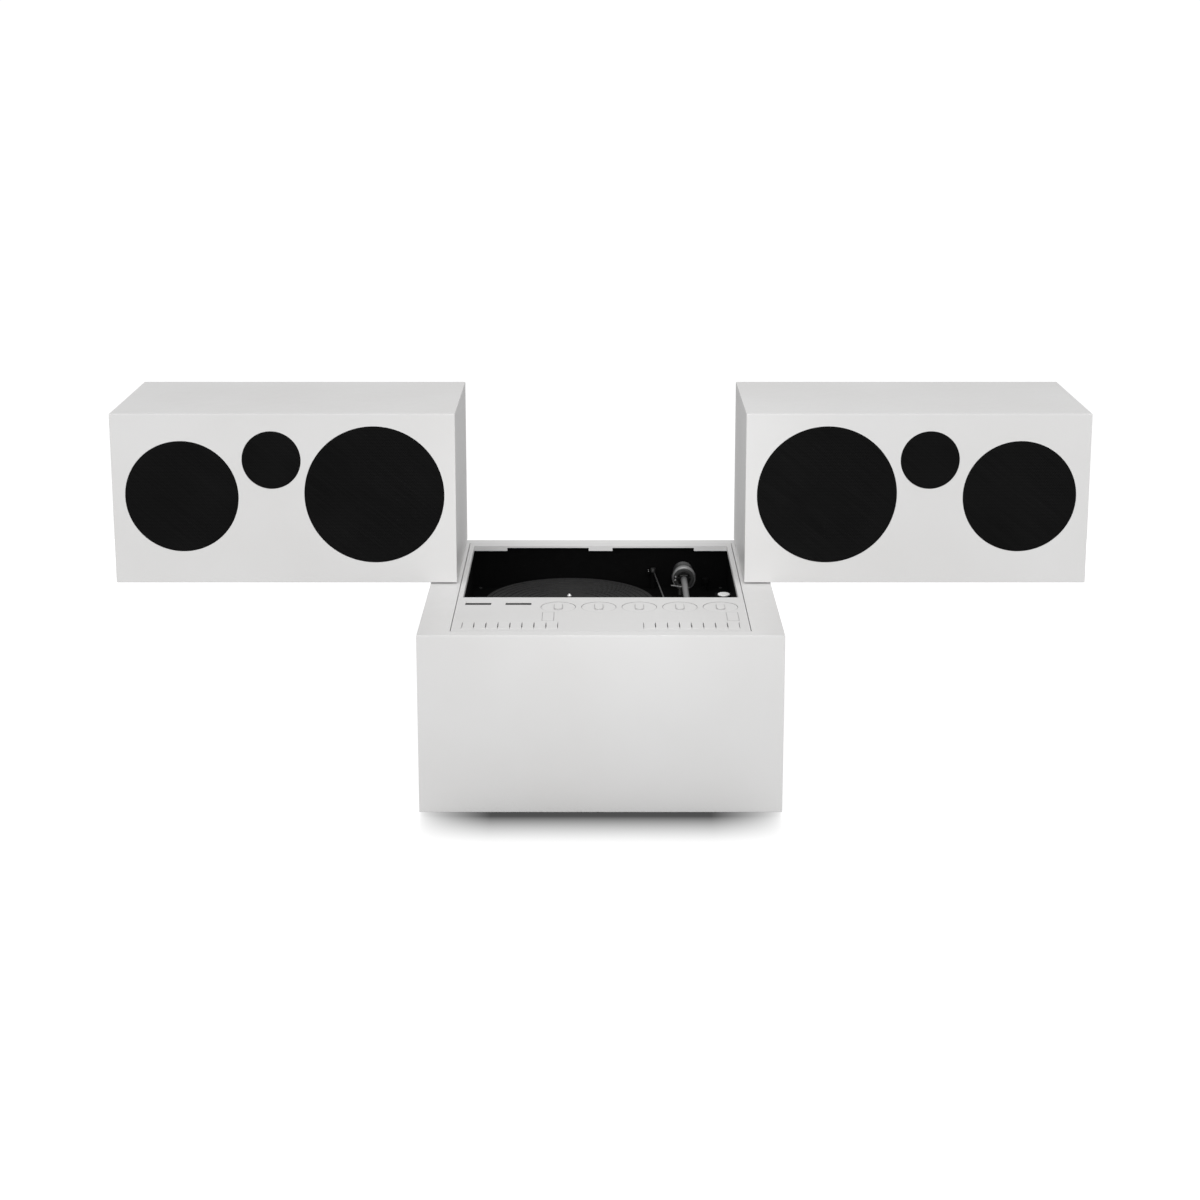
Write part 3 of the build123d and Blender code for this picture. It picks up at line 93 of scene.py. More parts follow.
# Sizes and tones that the materials use
WARMTH = 0.004
PLATTER_AXIS = (PLATTER_LOW + PLATTER_HIGH) / 2
SPINDLE_EDGE = (4.0 * MM, 4.4 * MM)
MAT_RING_PITCH = 1.6 * MM
HOLE_PITCH = 2.2 * MM
HOLE_ROW_WAYS = ((0.8660, 0.5), (0.8660, -0.5), (0.0, 1.0))
WEAVE_LEAN = math.radians(-38)
ARM_BLOCK_Y = 128 * MM
BLACKENED = 0.03
BLACKENED_EDGE = 0.2 * MM
KNOB_FIRST_X = (KNOB_LOW.x + KNOB_HIGH.x) / 2
KNOB_PITCH = (LAST_KNOB_LOW.x - KNOB_LOW.x) / (KNOB_COUNT - 1)
KNOB_Y = (KNOB_LOW.y + KNOB_HIGH.y) / 2
KNOB_RADIUS = (KNOB_HIGH.x - KNOB_LOW.x) / 2
GRIP_RADIUS = 6.0 * MM
GRIP_STRAIGHT = 8.5 * MM
# Lines painted along the gaps round the knobs, their grips and the wide keys: partly dust, partly painted
# shade
LINE_WIDTH = 0.9 * MM
LINE_CORE = 0.4
LINE_DARKNESS = 0.34
LINE_TONE = 0.12

# How finely a metal is brushed along each axis
EVEN = (400, 400, 400)
ALONG_ARM = (900, 60, 900)
UPRIGHT = (120, 120, 1500)

# Mesh building
JOIN_REACH = 0.0001 * MM
SHARP_ANGLE = math.radians(32)
BACK, FORWARD, UP, DOWN = (Vector(v) for v in ((0, 1, 0), (0, -1, 0), (0, 0, 1), (0, 0, -1)))

# Gimbal ring: its face plate lies in a shallow pocket in the ring's front
RING_X = (YOKE_LOW.x + YOKE_HIGH.x) / 2
RING_RADIUS = (YOKE_HIGH.x - YOKE_LOW.x) / 2
RING_Z = YOKE_HIGH.z - RING_RADIUS
FACE_SETBACK = 0.25 * MM
FACE_POCKET = 1.2 * MM
FACE_GAP = 0.1 * MM
FACE_BORE = 10.8 * MM
FACE_MARGIN = 2.2 * MM
FACE_EDGE = 0.3 * MM
FACE_SHOULDER = 0.8
RING_SCREW_ANGLES = (math.radians(166), math.radians(188))
RING_SCREW = (1.5 * MM, 0.9 * MM)

# Headshell screws, on the shell's centre line, which leans inward
HEAD_ROOT_Y = HEAD_HIGH.y - 2.15 * MM
HEAD_TOP = 2.2 * MM
HEAD_LEAN = math.radians(22)
HEAD_SCREW_REACH = 24 * MM
HEAD_SCREW_SPREAD = 4.5 * MM
HEAD_SCREW = (1.5 * MM, 1.0 * MM)

# Cue lever's bracket on the well's rear wall
TUB_WALL = 3 * MM
PIN_X = LEVER_LOW.x + 4 * MM
BRACKET_TOP = LEVER_HIGH.z - 4 * MM
BRACKET_SPAN = (10.5 * MM, 4.7 * MM)
BRACKET_LENGTH = 20 * MM
BRACKET_THICKNESS = 3 * MM
BRACKET_EDGE = 0.4 * MM
BRACKET_SCREW_X = 7.4 * MM
BRACKET_SCREWS_FROM_WALL = (4 * MM, 10 * MM, 16 * MM)
BRACKET_SCREW = (0.8 * MM, 0.5 * MM)

# Dial post behind the arm's sweep, and the tub's screws
WELL_FLOOR = BASE_HIGH.z - 70 * MM
DIAL_PLACE = (168 * MM, 207 * MM)
DIAL_TOP = BASE_HIGH.z - 50 * MM
DIAL_RADIUS = 6 * MM
DIAL_DEPTH = 8 * MM
DIAL_POST = 2.5 * MM
DIAL_RIM = 5.2 * MM
DIAL_SHOULDER = 1 * MM
DIAL_DIMPLE = (1.2 * MM, 0.8 * MM, 0.4 * MM)
DIAL_FLUTE = 0.035
TUB_SCREW_INSET = 14 * MM
TUB_SCREW = (2.6 * MM, 1.4 * MM)

# Rear plate, with places measured along it from its ends
SOCKET_HALF = 120 * MM
SOCKET_FACE = 235 * MM
SOCKET_Z = 66 * MM
SOCKET_COUNT = 4
SOCKET_FIRST = 98 * MM
SOCKET_PITCH = 26 * MM
PIN_COUNT = 5
PIN_STEP = math.radians(45)
PIN_REACH = 4.2 * MM
PIN_RADIUS = 0.7 * MM
PIN_TIP = 0.4 * MM
PIN_HALF = 2 * MM
PIN_SHOULDER = 1.6 * MM
PIN_STAND = 1.5 * MM
FUSE_PLACE = 64 * MM
FUSE_STAND = 8 * MM
FUSE_RADIUS = 6.2 * MM
FUSE_RIM = 5.4 * MM
FUSE_SHOULDER = 2.4 * MM
FUSE_HEIGHT = 3 * MM
FUSE_RECESS = (2.6 * MM, 2.4 * MM)
FUSE_RECESS_FLOOR = 1.4 * MM
FUSE_FLUTE = 0.03
NUT_COUNT = 3
NUT_FIRST = 42 * MM
NUT_PITCH = 14 * MM
NUT_STAND = 1 * MM
NUT_BORE = 4.1 * MM
NUT_RADIUS = 6 * MM
NUT_RIM = 5.2 * MM
NUT_SHOULDER = 4 * MM
NUT_HEIGHT = 5 * MM
NUT_FLUTE = 0.05
PLATE_SCREW_INSET = 6 * MM
PLATE_SCREW_RISE = 15 * MM
PLATE_SCREW = (2.2 * MM, 1.3 * MM)

# Underside and loudspeaker boxes
BOARD_SCREW_INSET = 14 * MM
BOARD_SCREW = (3.2 * MM, 1.6 * MM)
FOOT_RADIUS = 16 * MM
FOOT_SCREW_Z = 2 * MM
FOOT_SCREW = (3.0 * MM, 1.3 * MM)
BACK_SCREW_INSET = 9 * MM
BACK_SCREW_COLUMNS = 4
BACK_SCREW = (3.2 * MM, 1.6 * MM)
GRILLE_RADII = {"woofer": 103.7 * MM, "midrange": 84.0 * MM, "tweeter": 43.5 * MM}
GRILLE_SHOULDER = 5.0 * MM
GRILLE_RISE = 0.4 * MM
GRILLE_BACK = 0.02 * MM
GRILLE_EDGE = 0.15 * MM
GRILLE_STEPS = 6


class Paint:
    """A node material under construction, with short calls for what the materials here need."""

    INPUTS = {
        "color": "Base Color", "rough": "Roughness", "metal": "Metallic", "normal": "Normal",
        "coat": "Coat Weight", "coat_rough": "Coat Roughness", "specular": "Specular IOR Level",
    }

    def __init__(self, name):
        self.material = bpy.data.materials.new(name)
        self.material.use_nodes = True
        self.tree = self.material.node_tree
        self.tree.nodes.clear()
        self.output = self.add("ShaderNodeOutputMaterial")
        self.shader = self.add("ShaderNodeBsdfPrincipled")
        self.link(self.shader.outputs[0], self.output.inputs["Surface"])
        self.place = self.add("ShaderNodeTexCoord").outputs["Object"]

    def add(self, kind, **values):
        node = self.tree.nodes.new(kind)
        for key, value in values.items():
            setattr(node, key, value)
        return node

    def link(self, a, b):
        self.tree.links.new(a, b)

    def put(self, socket, value):
        """Sets a socket to a number or colour, or links it to another socket."""
        if isinstance(value, bpy.types.NodeSocket):
            self.link(value, socket)
        else:
            socket.default_value = value

    def math(self, operation, a, b=0.0):
        node = self.add("ShaderNodeMath", operation=operation)
        self.put(node.inputs[0], a)
        self.put(node.inputs[1], b)
        return node.outputs[0]

    def length(self, a, b):
        """The length of the vector (a, b)."""
        return self.math("SQRT", self.math("ADD", self.math("MULTIPLY", a, a), self.math("MULTIPLY", b, b)))

    def from_axis(self, axis):
        """The distance from an upright axis."""
        x, y, _ = self.split(self.mapped(location=(-axis[0], -axis[1], 0)))
        return self.length(x, y)

    def noise(self, scale, detail=2.0, rough=0.5, place=None):
        node = self.add("ShaderNodeTexNoise")
        self.link(place or self.place, node.inputs["Vector"])
        node.inputs["Scale"].default_value = scale
        node.inputs["Detail"].default_value = detail
        node.inputs["Roughness"].default_value = rough
        return node.outputs["Fac"]

    def voronoi(self, scale):
        node = self.add("ShaderNodeTexVoronoi", feature="F1")
        self.link(self.place, node.inputs["Vector"])
        node.inputs["Scale"].default_value = scale
        return node.outputs["Distance"]

    def range(self, value, low, high, to_low=0.0, to_high=1.0):
        node = self.add("ShaderNodeMapRange")
        self.put(node.inputs["Value"], value)
        for key, number in (("From Min", low), ("From Max", high), ("To Min", to_low), ("To Max", to_high)):
            node.inputs[key].default_value = number
        return node.outputs["Result"]

    def mix(self, factor, a, b):
        node = self.add("ShaderNodeMix", data_type="RGBA", blend_type="MIX")
        self.put(node.inputs["Factor"], factor)
        self.put(node.inputs[6], a)
        self.put(node.inputs[7], b)
        return node.outputs[2]

    def split(self, place=None):
        node = self.add("ShaderNodeSeparateXYZ")
        self.link(place or self.place, node.inputs[0])
        return node.outputs

    def mapped(self, location=(0, 0, 0), rotation=(0, 0, 0), scale=(1, 1, 1), place=None):
        node = self.add("ShaderNodeMapping", vector_type="POINT")
        self.link(place or self.place, node.inputs["Vector"])
        node.inputs["Location"].default_value = location
        node.inputs["Rotation"].default_value = rotation
        node.inputs["Scale"].default_value = scale
        return node.outputs[0]

    def bump(self, height, strength, distance, normal=None):
        node = self.add("ShaderNodeBump")
        node.inputs["Strength"].default_value = strength
        node.inputs["Distance"].default_value = distance
        self.put(node.inputs["Height"], height)
        if normal is not None:
            self.link(normal, node.inputs["Normal"])
        return node.outputs[0]

    def set(self, **values):
        for key, value in values.items():
            self.put(self.shader.inputs[self.INPUTS[key]], value)
        return self.material


def grey(value, warm=0.0):
    return (value * (1 + warm), value, value * (1 - warm), 1)


def dust_and_shade_line(p, color, distance):
    """Darkens a colour where a signed distance from an edge is near zero: a painted line of dust and shade
    along a gap.
    """
    off = p.math("ABSOLUTE", distance)
    line = p.math("MULTIPLY", p.range(off, LINE_WIDTH * LINE_CORE, LINE_WIDTH, 1.0, 0.0), LINE_DARKNESS)
    return p.mix(line, color, grey(LINE_TONE))


def knob_dust_and_shade_lines(p, color):
    """Thin painted lines of dust and shade round the knobs, which stand in one row, and round their grips.
    """
    x, y, _ = p.split()
    along = p.math("SUBTRACT", x, KNOB_FIRST_X)
    nearest = p.math("ROUND", p.math("DIVIDE", along, KNOB_PITCH))
    nearest = p.math("MINIMUM", p.math("MAXIMUM", nearest, 0.0), KNOB_COUNT - 1)
    dx = p.math("SUBTRACT", along, p.math("MULTIPLY", nearest, KNOB_PITCH))
    dy = p.math("SUBTRACT", y, KNOB_Y)
    color = dust_and_shade_line(p, color, p.math("SUBTRACT", p.length(dx, dy), KNOB_RADIUS))
    past = p.math("MAXIMUM", p.math("SUBTRACT", p.math("ABSOLUTE", dy), GRIP_STRAIGHT), 0.0)
    return dust_and_shade_line(p, color, p.math("SUBTRACT", p.length(dx, past), GRIP_RADIUS))


def wide_key_dust_and_shade_lines(p, color):
    """Thin painted lines of dust and shade round the two wide keys."""
    x, y, _ = p.split()
    for low, high in WIDE_KEYS:
        over = []
        for spot, a, b in ((x, low.x, high.x), (y, low.y, high.y)):
            off_middle = p.math("ABSOLUTE", p.math("SUBTRACT", spot, (a + b) / 2))
            over.append(p.math("SUBTRACT", off_middle, (b - a) / 2))
        color = dust_and_shade_line(p, color, p.math("MAXIMUM", *over))
    return color


def lacquer(name, value, rough=0.42, lines=()):
    """White lacquer or moulding: fine orange peel, faint clouding, a little dust and any painted lines of
    dust and shade.
    """
    p = Paint(name)
    cloud = p.range(p.noise(5.0, 3.0), 0.35, 0.65)
    color = p.mix(cloud, grey(value * 0.975, WARMTH * 2), grey(value * 1.01, WARMTH))
    speck = p.range(p.noise(420.0), 0.68, 0.8)
    color = p.mix(p.math("MULTIPLY", speck, 0.1), color, grey(value * 0.8, 0.01))
    for add_lines in lines:
        color = add_lines(p, color)
    scuff = p.range(p.noise(60.0, 4.0, 0.7), 0.4, 0.7, rough - 0.04, rough + 0.08)
    peel = p.bump(p.noise(650.0, 1.0), 0.12, 0.0002)
    broad = p.bump(p.noise(24.0, 1.0), 0.06, 0.0008, peel)
    return p.set(color=color, rough=scuff, normal=broad, coat=0.08, coat_rough=0.35, specular=0.3)


def black_plastic(name, value, rough, shine=0.35):
    """Moulded black plastic with a fine spark-eroded grain."""
    p = Paint(name)
    dust = p.range(p.noise(35.0, 5.0, 0.7), 0.5, 0.8)
    color = p.mix(p.math("MULTIPLY", dust, 0.25), grey(value), grey(value * 2.2, 0.05))
    tone = p.range(p.noise(90.0, 3.0), 0.3, 0.7, rough - 0.06, rough + 0.08)
    grain = p.bump(p.voronoi(1500.0), 0.25, 0.0003)
    return p.set(color=color, rough=tone, normal=grain, specular=shine)


def rubber(name):
    """Black rubber with a pale bloom."""
    p = Paint(name)
    bloom = p.range(p.noise(45.0, 5.0, 0.65), 0.45, 0.75)
    color = p.mix(p.math("MULTIPLY", bloom, 0.4), grey(0.02), grey(0.04, 0.04))
    return p.set(color=color, rough=0.78, normal=p.bump(p.noise(900.0), 0.2, 0.0004), specular=0.3)


def metal(name, value, rough, brushing=EVEN, dark_behind=None):
    """Satin metal, brushed. Past dark_behind, a place along Y, it is blackened."""
    p = Paint(name)
    lines = p.noise(1.0, 3.0, 0.6, p.mapped(scale=brushing))
    color = p.mix(p.range(lines, 0.3, 0.7), grey(value * 0.9), grey(value * 1.06))
    if dark_behind is not None:
        _, y, _ = p.split()
        behind = p.range(y, dark_behind - BLACKENED_EDGE, dark_behind + BLACKENED_EDGE)
        color = p.mix(behind, color, grey(BLACKENED))
    tone = p.range(lines, 0.3, 0.7, rough - 0.06, rough + 0.08)
    return p.set(color=color, rough=tone, metal=1.0, normal=p.bump(lines, 0.12, 0.0002))


def grille_metal(name):
    """Black painted sheet, finely pierced in staggered rows, with a faint slanting weave in its tone."""
    p = Paint(name)
    x, _, z = p.split()
    total = 0.0
    for along_x, along_z in HOLE_ROW_WAYS:
        slope = p.math("ADD", p.math("MULTIPLY", x, along_x), p.math("MULTIPLY", z, along_z))
        wave = p.math("SINE", p.math("MULTIPLY", slope, 2 * math.pi / HOLE_PITCH))
        total = p.math("ADD", total, wave)
    hole = p.range(total, 0.1, 1.4)
    lean = p.mapped(rotation=(0, WEAVE_LEAN, 0))
    streak = p.mapped(scale=(9, 1, 330), place=lean)
    weave = p.range(p.noise(1.0, 3.0, 0.6, streak), 0.35, 0.68)
    cloud = p.range(p.noise(9.0, 3.0), 0.3, 0.7)
    faint = p.math("MULTIPLY", p.math("ADD", weave, cloud), 0.5)
    color = p.mix(hole, p.mix(faint, grey(0.0035), grey(0.0085)), grey(0.0012))
    tone = p.range(hole, 0.0, 1.0, 0.42, 0.9)
    height = p.math("SUBTRACT", 1.0, hole)
    return p.set(color=color, rough=tone, normal=p.bump(height, 0.6, 0.0006), specular=0.05)


def cone_paper(name):
    """Dark felted paper, for the loudspeakers' cones."""
    p = Paint(name)
    fibre = p.noise(700.0, 4.0, 0.7)
    color = p.mix(p.range(fibre, 0.3, 0.7), grey(0.02), grey(0.045, 0.03))
    return p.set(color=color, rough=0.85, normal=p.bump(fibre, 0.4, 0.0004))


def mat_rubber(name):
    """The platter mat: rubber with fine record-like rings and a little dust in them."""
    p = Paint(name)
    ring = p.math("SINE", p.math("MULTIPLY", p.from_axis(PLATTER_AXIS), 2 * math.pi / MAT_RING_PITCH))
    dust = p.range(p.noise(70.0, 5.0, 0.7), 0.45, 0.8)
    color = p.mix(p.math("MULTIPLY", dust, 0.5), grey(0.014), grey(0.03, 0.03))
    rings = p.bump(ring, 0.35, 0.0003)
    return p.set(color=color, rough=0.6, normal=p.bump(p.noise(1200.0), 0.15, 0.0003, rings), specular=0.25)


def spun_metal(name):
    """Dark turned metal with fine rings about the platter's axis, and a bright spindle."""
    p = Paint(name)
    reach = p.from_axis(PLATTER_AXIS)
    line = p.add("ShaderNodeCombineXYZ")
    p.link(p.math("MULTIPLY", reach, 2600.0), line.inputs[0])
    lines = p.noise(1.0, 2.0, 0.5, line.outputs[0])
    color = p.mix(p.range(lines, 0.3, 0.7), grey(0.051), grey(0.069))
    color = p.mix(p.range(reach, *SPINDLE_EDGE, 1.0, 0.0), color, grey(0.8))
    tone = p.range(lines, 0.3, 0.7, 0.28, 0.42)
    return p.set(color=color, rough=tone, metal=0.9, normal=p.bump(lines, 0.1, 0.0002))


def smoked(name):
    """Dark tinted window with a little dust."""
    p = Paint(name)
    dust = p.range(p.noise(300.0, 3.0), 0.6, 0.8)
    color = p.mix(p.math("MULTIPLY", dust, 0.2), grey(0.002), grey(0.02))
    return p.set(color=color, rough=0.2, specular=0.15)


def stained_board(name):
    """Dark stained fibre board with a faint lengthwise grain."""
    p = Paint(name)
    grain = p.noise(1.0, 4.0, 0.6, p.mapped(scale=(30, 400, 400)))
    color = p.mix(p.range(grain, 0.35, 0.65), grey(0.014, 0.1), grey(0.032, 0.15))
    return p.set(color=color, rough=0.7, normal=p.bump(grain, 0.2, 0.0004))


def circuit_board(name):
    """Brown laminate with a blotchy tone."""
    p = Paint(name)
    tone = p.range(p.voronoi(260.0), 0.1, 0.35)
    color = p.mix(tone, (0.07, 0.045, 0.015, 1), (0.16, 0.11, 0.04, 1))
    return p.set(color=color, rough=0.5, normal=p.bump(tone, 0.2, 0.0003))


WHITE = lacquer("white_lacquer", 0.70)
# The panel, keys and knobs carry painted lines of dust and shade along the gaps between them
PANEL = lacquer("white_panel", 0.67, 0.5, (knob_dust_and_shade_lines, wide_key_dust_and_shade_lines))
KEY = lacquer("white_key", 0.68, 0.46, (wide_key_dust_and_shade_lines,))
KNOB = lacquer("white_knob", 0.68, 0.46, (knob_dust_and_shade_lines,))
BUTTON = lacquer("button_white", 0.9, 0.25)
WELL = black_plastic("black_well", 0.002, 0.75, 0.06)
DARK = black_plastic("arm_dark", 0.02, 0.4)
GRILLE = grille_metal("grille_black")
CONE = cone_paper("driver_dark")
RUBBER = rubber("rubber_black")
MAT = mat_rubber("mat_rubber")
SPUN = spun_metal("platter_metal")
ARM = metal("arm_metal", 0.34, 0.38, ALONG_ARM)
ARM_TUBE = metal("arm_tube", 0.38, 0.46, ALONG_ARM, dark_behind=ARM_BLOCK_Y)
WEIGHT = metal("arm_weight", 0.11, 0.36, ALONG_ARM)
DIM = metal("dim_steel", 0.22, 0.4)
STEEL = metal("steel", 0.55, 0.28, UPRIGHT)
BRIGHT = metal("bright_steel", 0.42, 0.3)
MOTOR = metal("motor_case", 0.2, 0.45)
PLATED = metal("electronics", 0.35, 0.4)
SMOKED = smoked("smoked_window")
BOARD = stained_board("dark_board")
CIRCUIT = circuit_board("crossover_board")

FINISHES = {
    "base_cabinet": WHITE, "base_bottom_panel": BOARD, "rubber_feet": RUBBER, "top_panel": PANEL,
    "turntable_tub": WELL, "meter_windows": SMOKED, "pivot_bearings": STEEL, "drive_motor": MOTOR,
    "drive_belt": RUBBER, "tonearm_base": DARK, "amplifier_chassis": PLATED, "platter": SPUN,
    "platter_mat": MAT, "motor_pulley": STEEL, "tonearm_yoke": ARM, "tonearm_tube": ARM_TUBE,
    "headshell": ARM, "counterweight": WEIGHT, "lift_bar": DIM, "cue_lever": DIM,
    "start_button": BUTTON,
}
SPEAKER_FINISHES = {
    "cabinet": WHITE, "back_panel": WHITE, "grilles": GRILLE, "woofer": CONE, "midrange": CONE,
    "tweeter": CONE, "crossover": CIRCUIT, "pivot_shaft": STEEL,
}


def finish_of(node):
    """The finish of a carried-over piece."""
    if "_speaker_" in node:
        return SPEAKER_FINISHES[node.split("_speaker_")[1]]
    if node in FINISHES:
        return FINISHES[node]
    return KNOB if node.startswith("knob") else KEY


def dress_nodes():
    for node, solid in NODES.items():
        for slot in solid.material_slots:
            slot.material = finish_of(node)


class Form:
    """A mesh under construction, in the part's frame."""

    def __init__(self):
        self.mesh = bmesh.new()

    def turned(self, outline, at, facing, sides, flute=0.0):
        """A turned form from (radius, height, corners) points, its height along facing.

        Corners of 6 make a ring hexagonal, and 0 leaves it round. A flute pulls in every other side.
        """
        turn = facing.to_track_quat("Z", "Y").to_matrix()
        rings = []
        for radius, height, corners in outline:
            if radius == 0:
                rings.append([self.mesh.verts.new(Vector(at) + turn @ Vector((0, 0, height)))])
                continue
            ring = []
            for i in range(sides):
                angle = 2 * math.pi * i / sides
                reach = radius * (1 - flute * (i % 2))
                if corners:
                    sector = 2 * math.pi / corners
                    reach /= math.cos(angle % sector - sector / 2)
                spot = Vector((reach * math.cos(angle), reach * math.sin(angle), height))
                ring.append(self.mesh.verts.new(Vector(at) + turn @ spot))
            rings.append(ring)
        for low, high in zip(rings, rings[1:]):
            for i in range(sides):
                j = (i + 1) % sides
                if len(low) == 1:
                    self.mesh.faces.new((low[0], high[j], high[i]))
                elif len(high) == 1:
                    self.mesh.faces.new((low[i], low[j], high[0]))
                else:
                    self.mesh.faces.new((low[i], low[j], high[j], high[i]))
        return self

    def plate(self, low, high, bevel):
        """A plate between two corners, with all its edges eased."""
        middle = (Vector(low) + Vector(high)) / 2
        made = bmesh.ops.create_cube(self.mesh, size=1)["verts"]
        for vertex in made:
            vertex.co = middle + Vector(a * b for a, b in zip(vertex.co, Vector(high) - Vector(low)))
        edges = list({edge for vertex in made for edge in vertex.link_edges})
        bmesh.ops.bevel(self.mesh, geom=edges, offset=bevel, segments=2, profile=0.7, affect="EDGES")
        return self

    def piece(self, name, material, body, slot):
        """Joins points that fall together, shades the mesh, and makes it a piece that rides on a body."""
        bmesh.ops.remove_doubles(self.mesh, verts=self.mesh.verts, dist=JOIN_REACH)
        bmesh.ops.recalc_face_normals(self.mesh, faces=self.mesh.faces)
        for face in self.mesh.faces:
            face.smooth = True
        for edge in self.mesh.edges:
            edge.smooth = len(edge.link_faces) == 2 and edge.calc_face_angle() < SHARP_ANGLE
        data = bpy.data.meshes.new(name)
        self.mesh.to_mesh(data)
        self.mesh.free()
        data.materials.append(material)
        piece = bpy.data.objects.new(name, data)
        bpy.context.scene.collection.objects.link(piece)
        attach(piece, body)
        return piece


def round_outline(*points):
    """An outline of round rings from (radius, height) points."""
    return [(radius, height, 0) for radius, height in points]


def screw_outline(radius, height):
    """A low domed head with a hexagonal recess."""
    return (
        (0, -0.2 * height, 0), (radius, -0.2 * height, 0), (radius, 0.35 * height, 0),
        (0.86 * radius, 0.8 * height, 0), (0.62 * radius, height, 0), (0.42 * radius, height, 6),
        (0.38 * radius, 0.3 * height, 6), (0, 0.3 * height, 0),
    )


def screws(name, body, places, facing, size, material=STEEL, slot="steel"):
    """A set of like screws, as one piece. The size is the head's radius and height."""
    form = Form()
    for place in places:
        form.turned(screw_outline(*size), place, facing, sides=24)
    return form.piece(name, material, body, slot)


def arm_fittings():
    """The black face plate of the gimbal ring with its two bright screws, and the headshell's screws."""
    face = YOKE_LOW.y + FACE_SETBACK
    seat = YOKE_LOW.y + FACE_POCKET - FACE_GAP
    depth = seat - face
    outer = RING_RADIUS - FACE_MARGIN
    plate = round_outline(
        (FACE_BORE, 0), (outer, 0), (outer, FACE_SHOULDER * depth), (outer - FACE_EDGE, depth),
        (FACE_BORE + FACE_EDGE, depth), (FACE_BORE, FACE_SHOULDER * depth), (FACE_BORE, 0),
    )
    ring_face = Form().turned(plate, (RING_X, seat, RING_Z), FORWARD, sides=64)
    ring_face.piece("ring_face", DARK, "arm_yoke", "arm_dark")
    reach = (FACE_BORE + outer) / 2
    spots = [
        (RING_X + reach * math.cos(a), face, RING_Z + reach * math.sin(a))
        for a in RING_SCREW_ANGLES
    ]
    screws("ring_screws", "arm_yoke", spots, FORWARD, RING_SCREW, BRIGHT, "bright_steel")
    along = Vector((-math.sin(HEAD_LEAN), -math.cos(HEAD_LEAN), 0))
    across = Vector((math.cos(HEAD_LEAN), -math.sin(HEAD_LEAN), 0))
    middle = Vector((RING_X, HEAD_ROOT_Y, RING_Z + HEAD_TOP)) + along * HEAD_SCREW_REACH
    spots = [middle + across * side * HEAD_SCREW_SPREAD for side in (-1, 1)]
    screws("headshell_screws", "arm", spots, UP, HEAD_SCREW, BRIGHT, "bright_steel")


def well_fittings():
    """Small parts in the well: the lever's bracket with its screws, the dial, and the tub's own screws."""
    wall = TUB_HIGH.y - TUB_WALL
    far, near = BRACKET_SPAN
    low = (PIN_X - far, wall - BRACKET_LENGTH, BRACKET_TOP - BRACKET_THICKNESS)
    high = (PIN_X - near, wall, BRACKET_TOP)
    Form().plate(low, high, BRACKET_EDGE).piece("lever_bracket", WELL, "base", "black_well")
    spots = [(PIN_X - BRACKET_SCREW_X, wall - d, BRACKET_TOP) for d in BRACKET_SCREWS_FROM_WALL]
    screws("bracket_screws", "base", spots, UP, BRACKET_SCREW, BRIGHT, "bright_steel")
    foot = WELL_FLOOR - DIAL_TOP
    dimple, dimple_floor, dimple_depth = DIAL_DIMPLE
    dial = round_outline(
        (0, foot), (DIAL_POST, foot), (DIAL_POST, -DIAL_DEPTH), (DIAL_RADIUS, -DIAL_DEPTH),
        (DIAL_RADIUS, -DIAL_SHOULDER), (DIAL_RIM, 0), (dimple, 0), (dimple_floor, -dimple_depth),
        (0, -dimple_depth),
    )
    form = Form().turned(dial, (*DIAL_PLACE, DIAL_TOP), UP, sides=48, flute=DIAL_FLUTE)
    form.piece("arm_dial", WELL, "base", "black_well")
    reach_x = TUB_HIGH.x - TUB_SCREW_INSET
    rows = (TUB_LOW.y + TUB_SCREW_INSET, TUB_HIGH.y - TUB_SCREW_INSET)
    spots = [(side * reach_x, y, WELL_FLOOR) for side in (-1, 1) for y in rows]
    screws("tub_screws", "base", spots, UP, TUB_SCREW, DARK, "arm_dark")


def socket_pins():
    """The contacts of the round sockets, five to each in a half circle."""
    pin = round_outline(
        (0, -PIN_HALF), (PIN_RADIUS, -PIN_HALF), (PIN_RADIUS, PIN_SHOULDER), (PIN_TIP, PIN_HALF),
        (0, PIN_HALF),
    )
    pins = Form()
    for i in range(SOCKET_COUNT):
        x = -SOCKET_HALF + SOCKET_FIRST + SOCKET_PITCH * i
        for k in range(PIN_COUNT):
            angle = PIN_STEP * (k - PIN_COUNT // 2) - math.pi / 2
            dx, dz = PIN_REACH * math.cos(angle), PIN_REACH * math.sin(angle)
            pins.turned(pin, (x + dx, SOCKET_FACE + PIN_STAND, SOCKET_Z + dz), BACK, sides=16)
    pins.piece("socket_pins", BRIGHT, "base", "bright_steel")


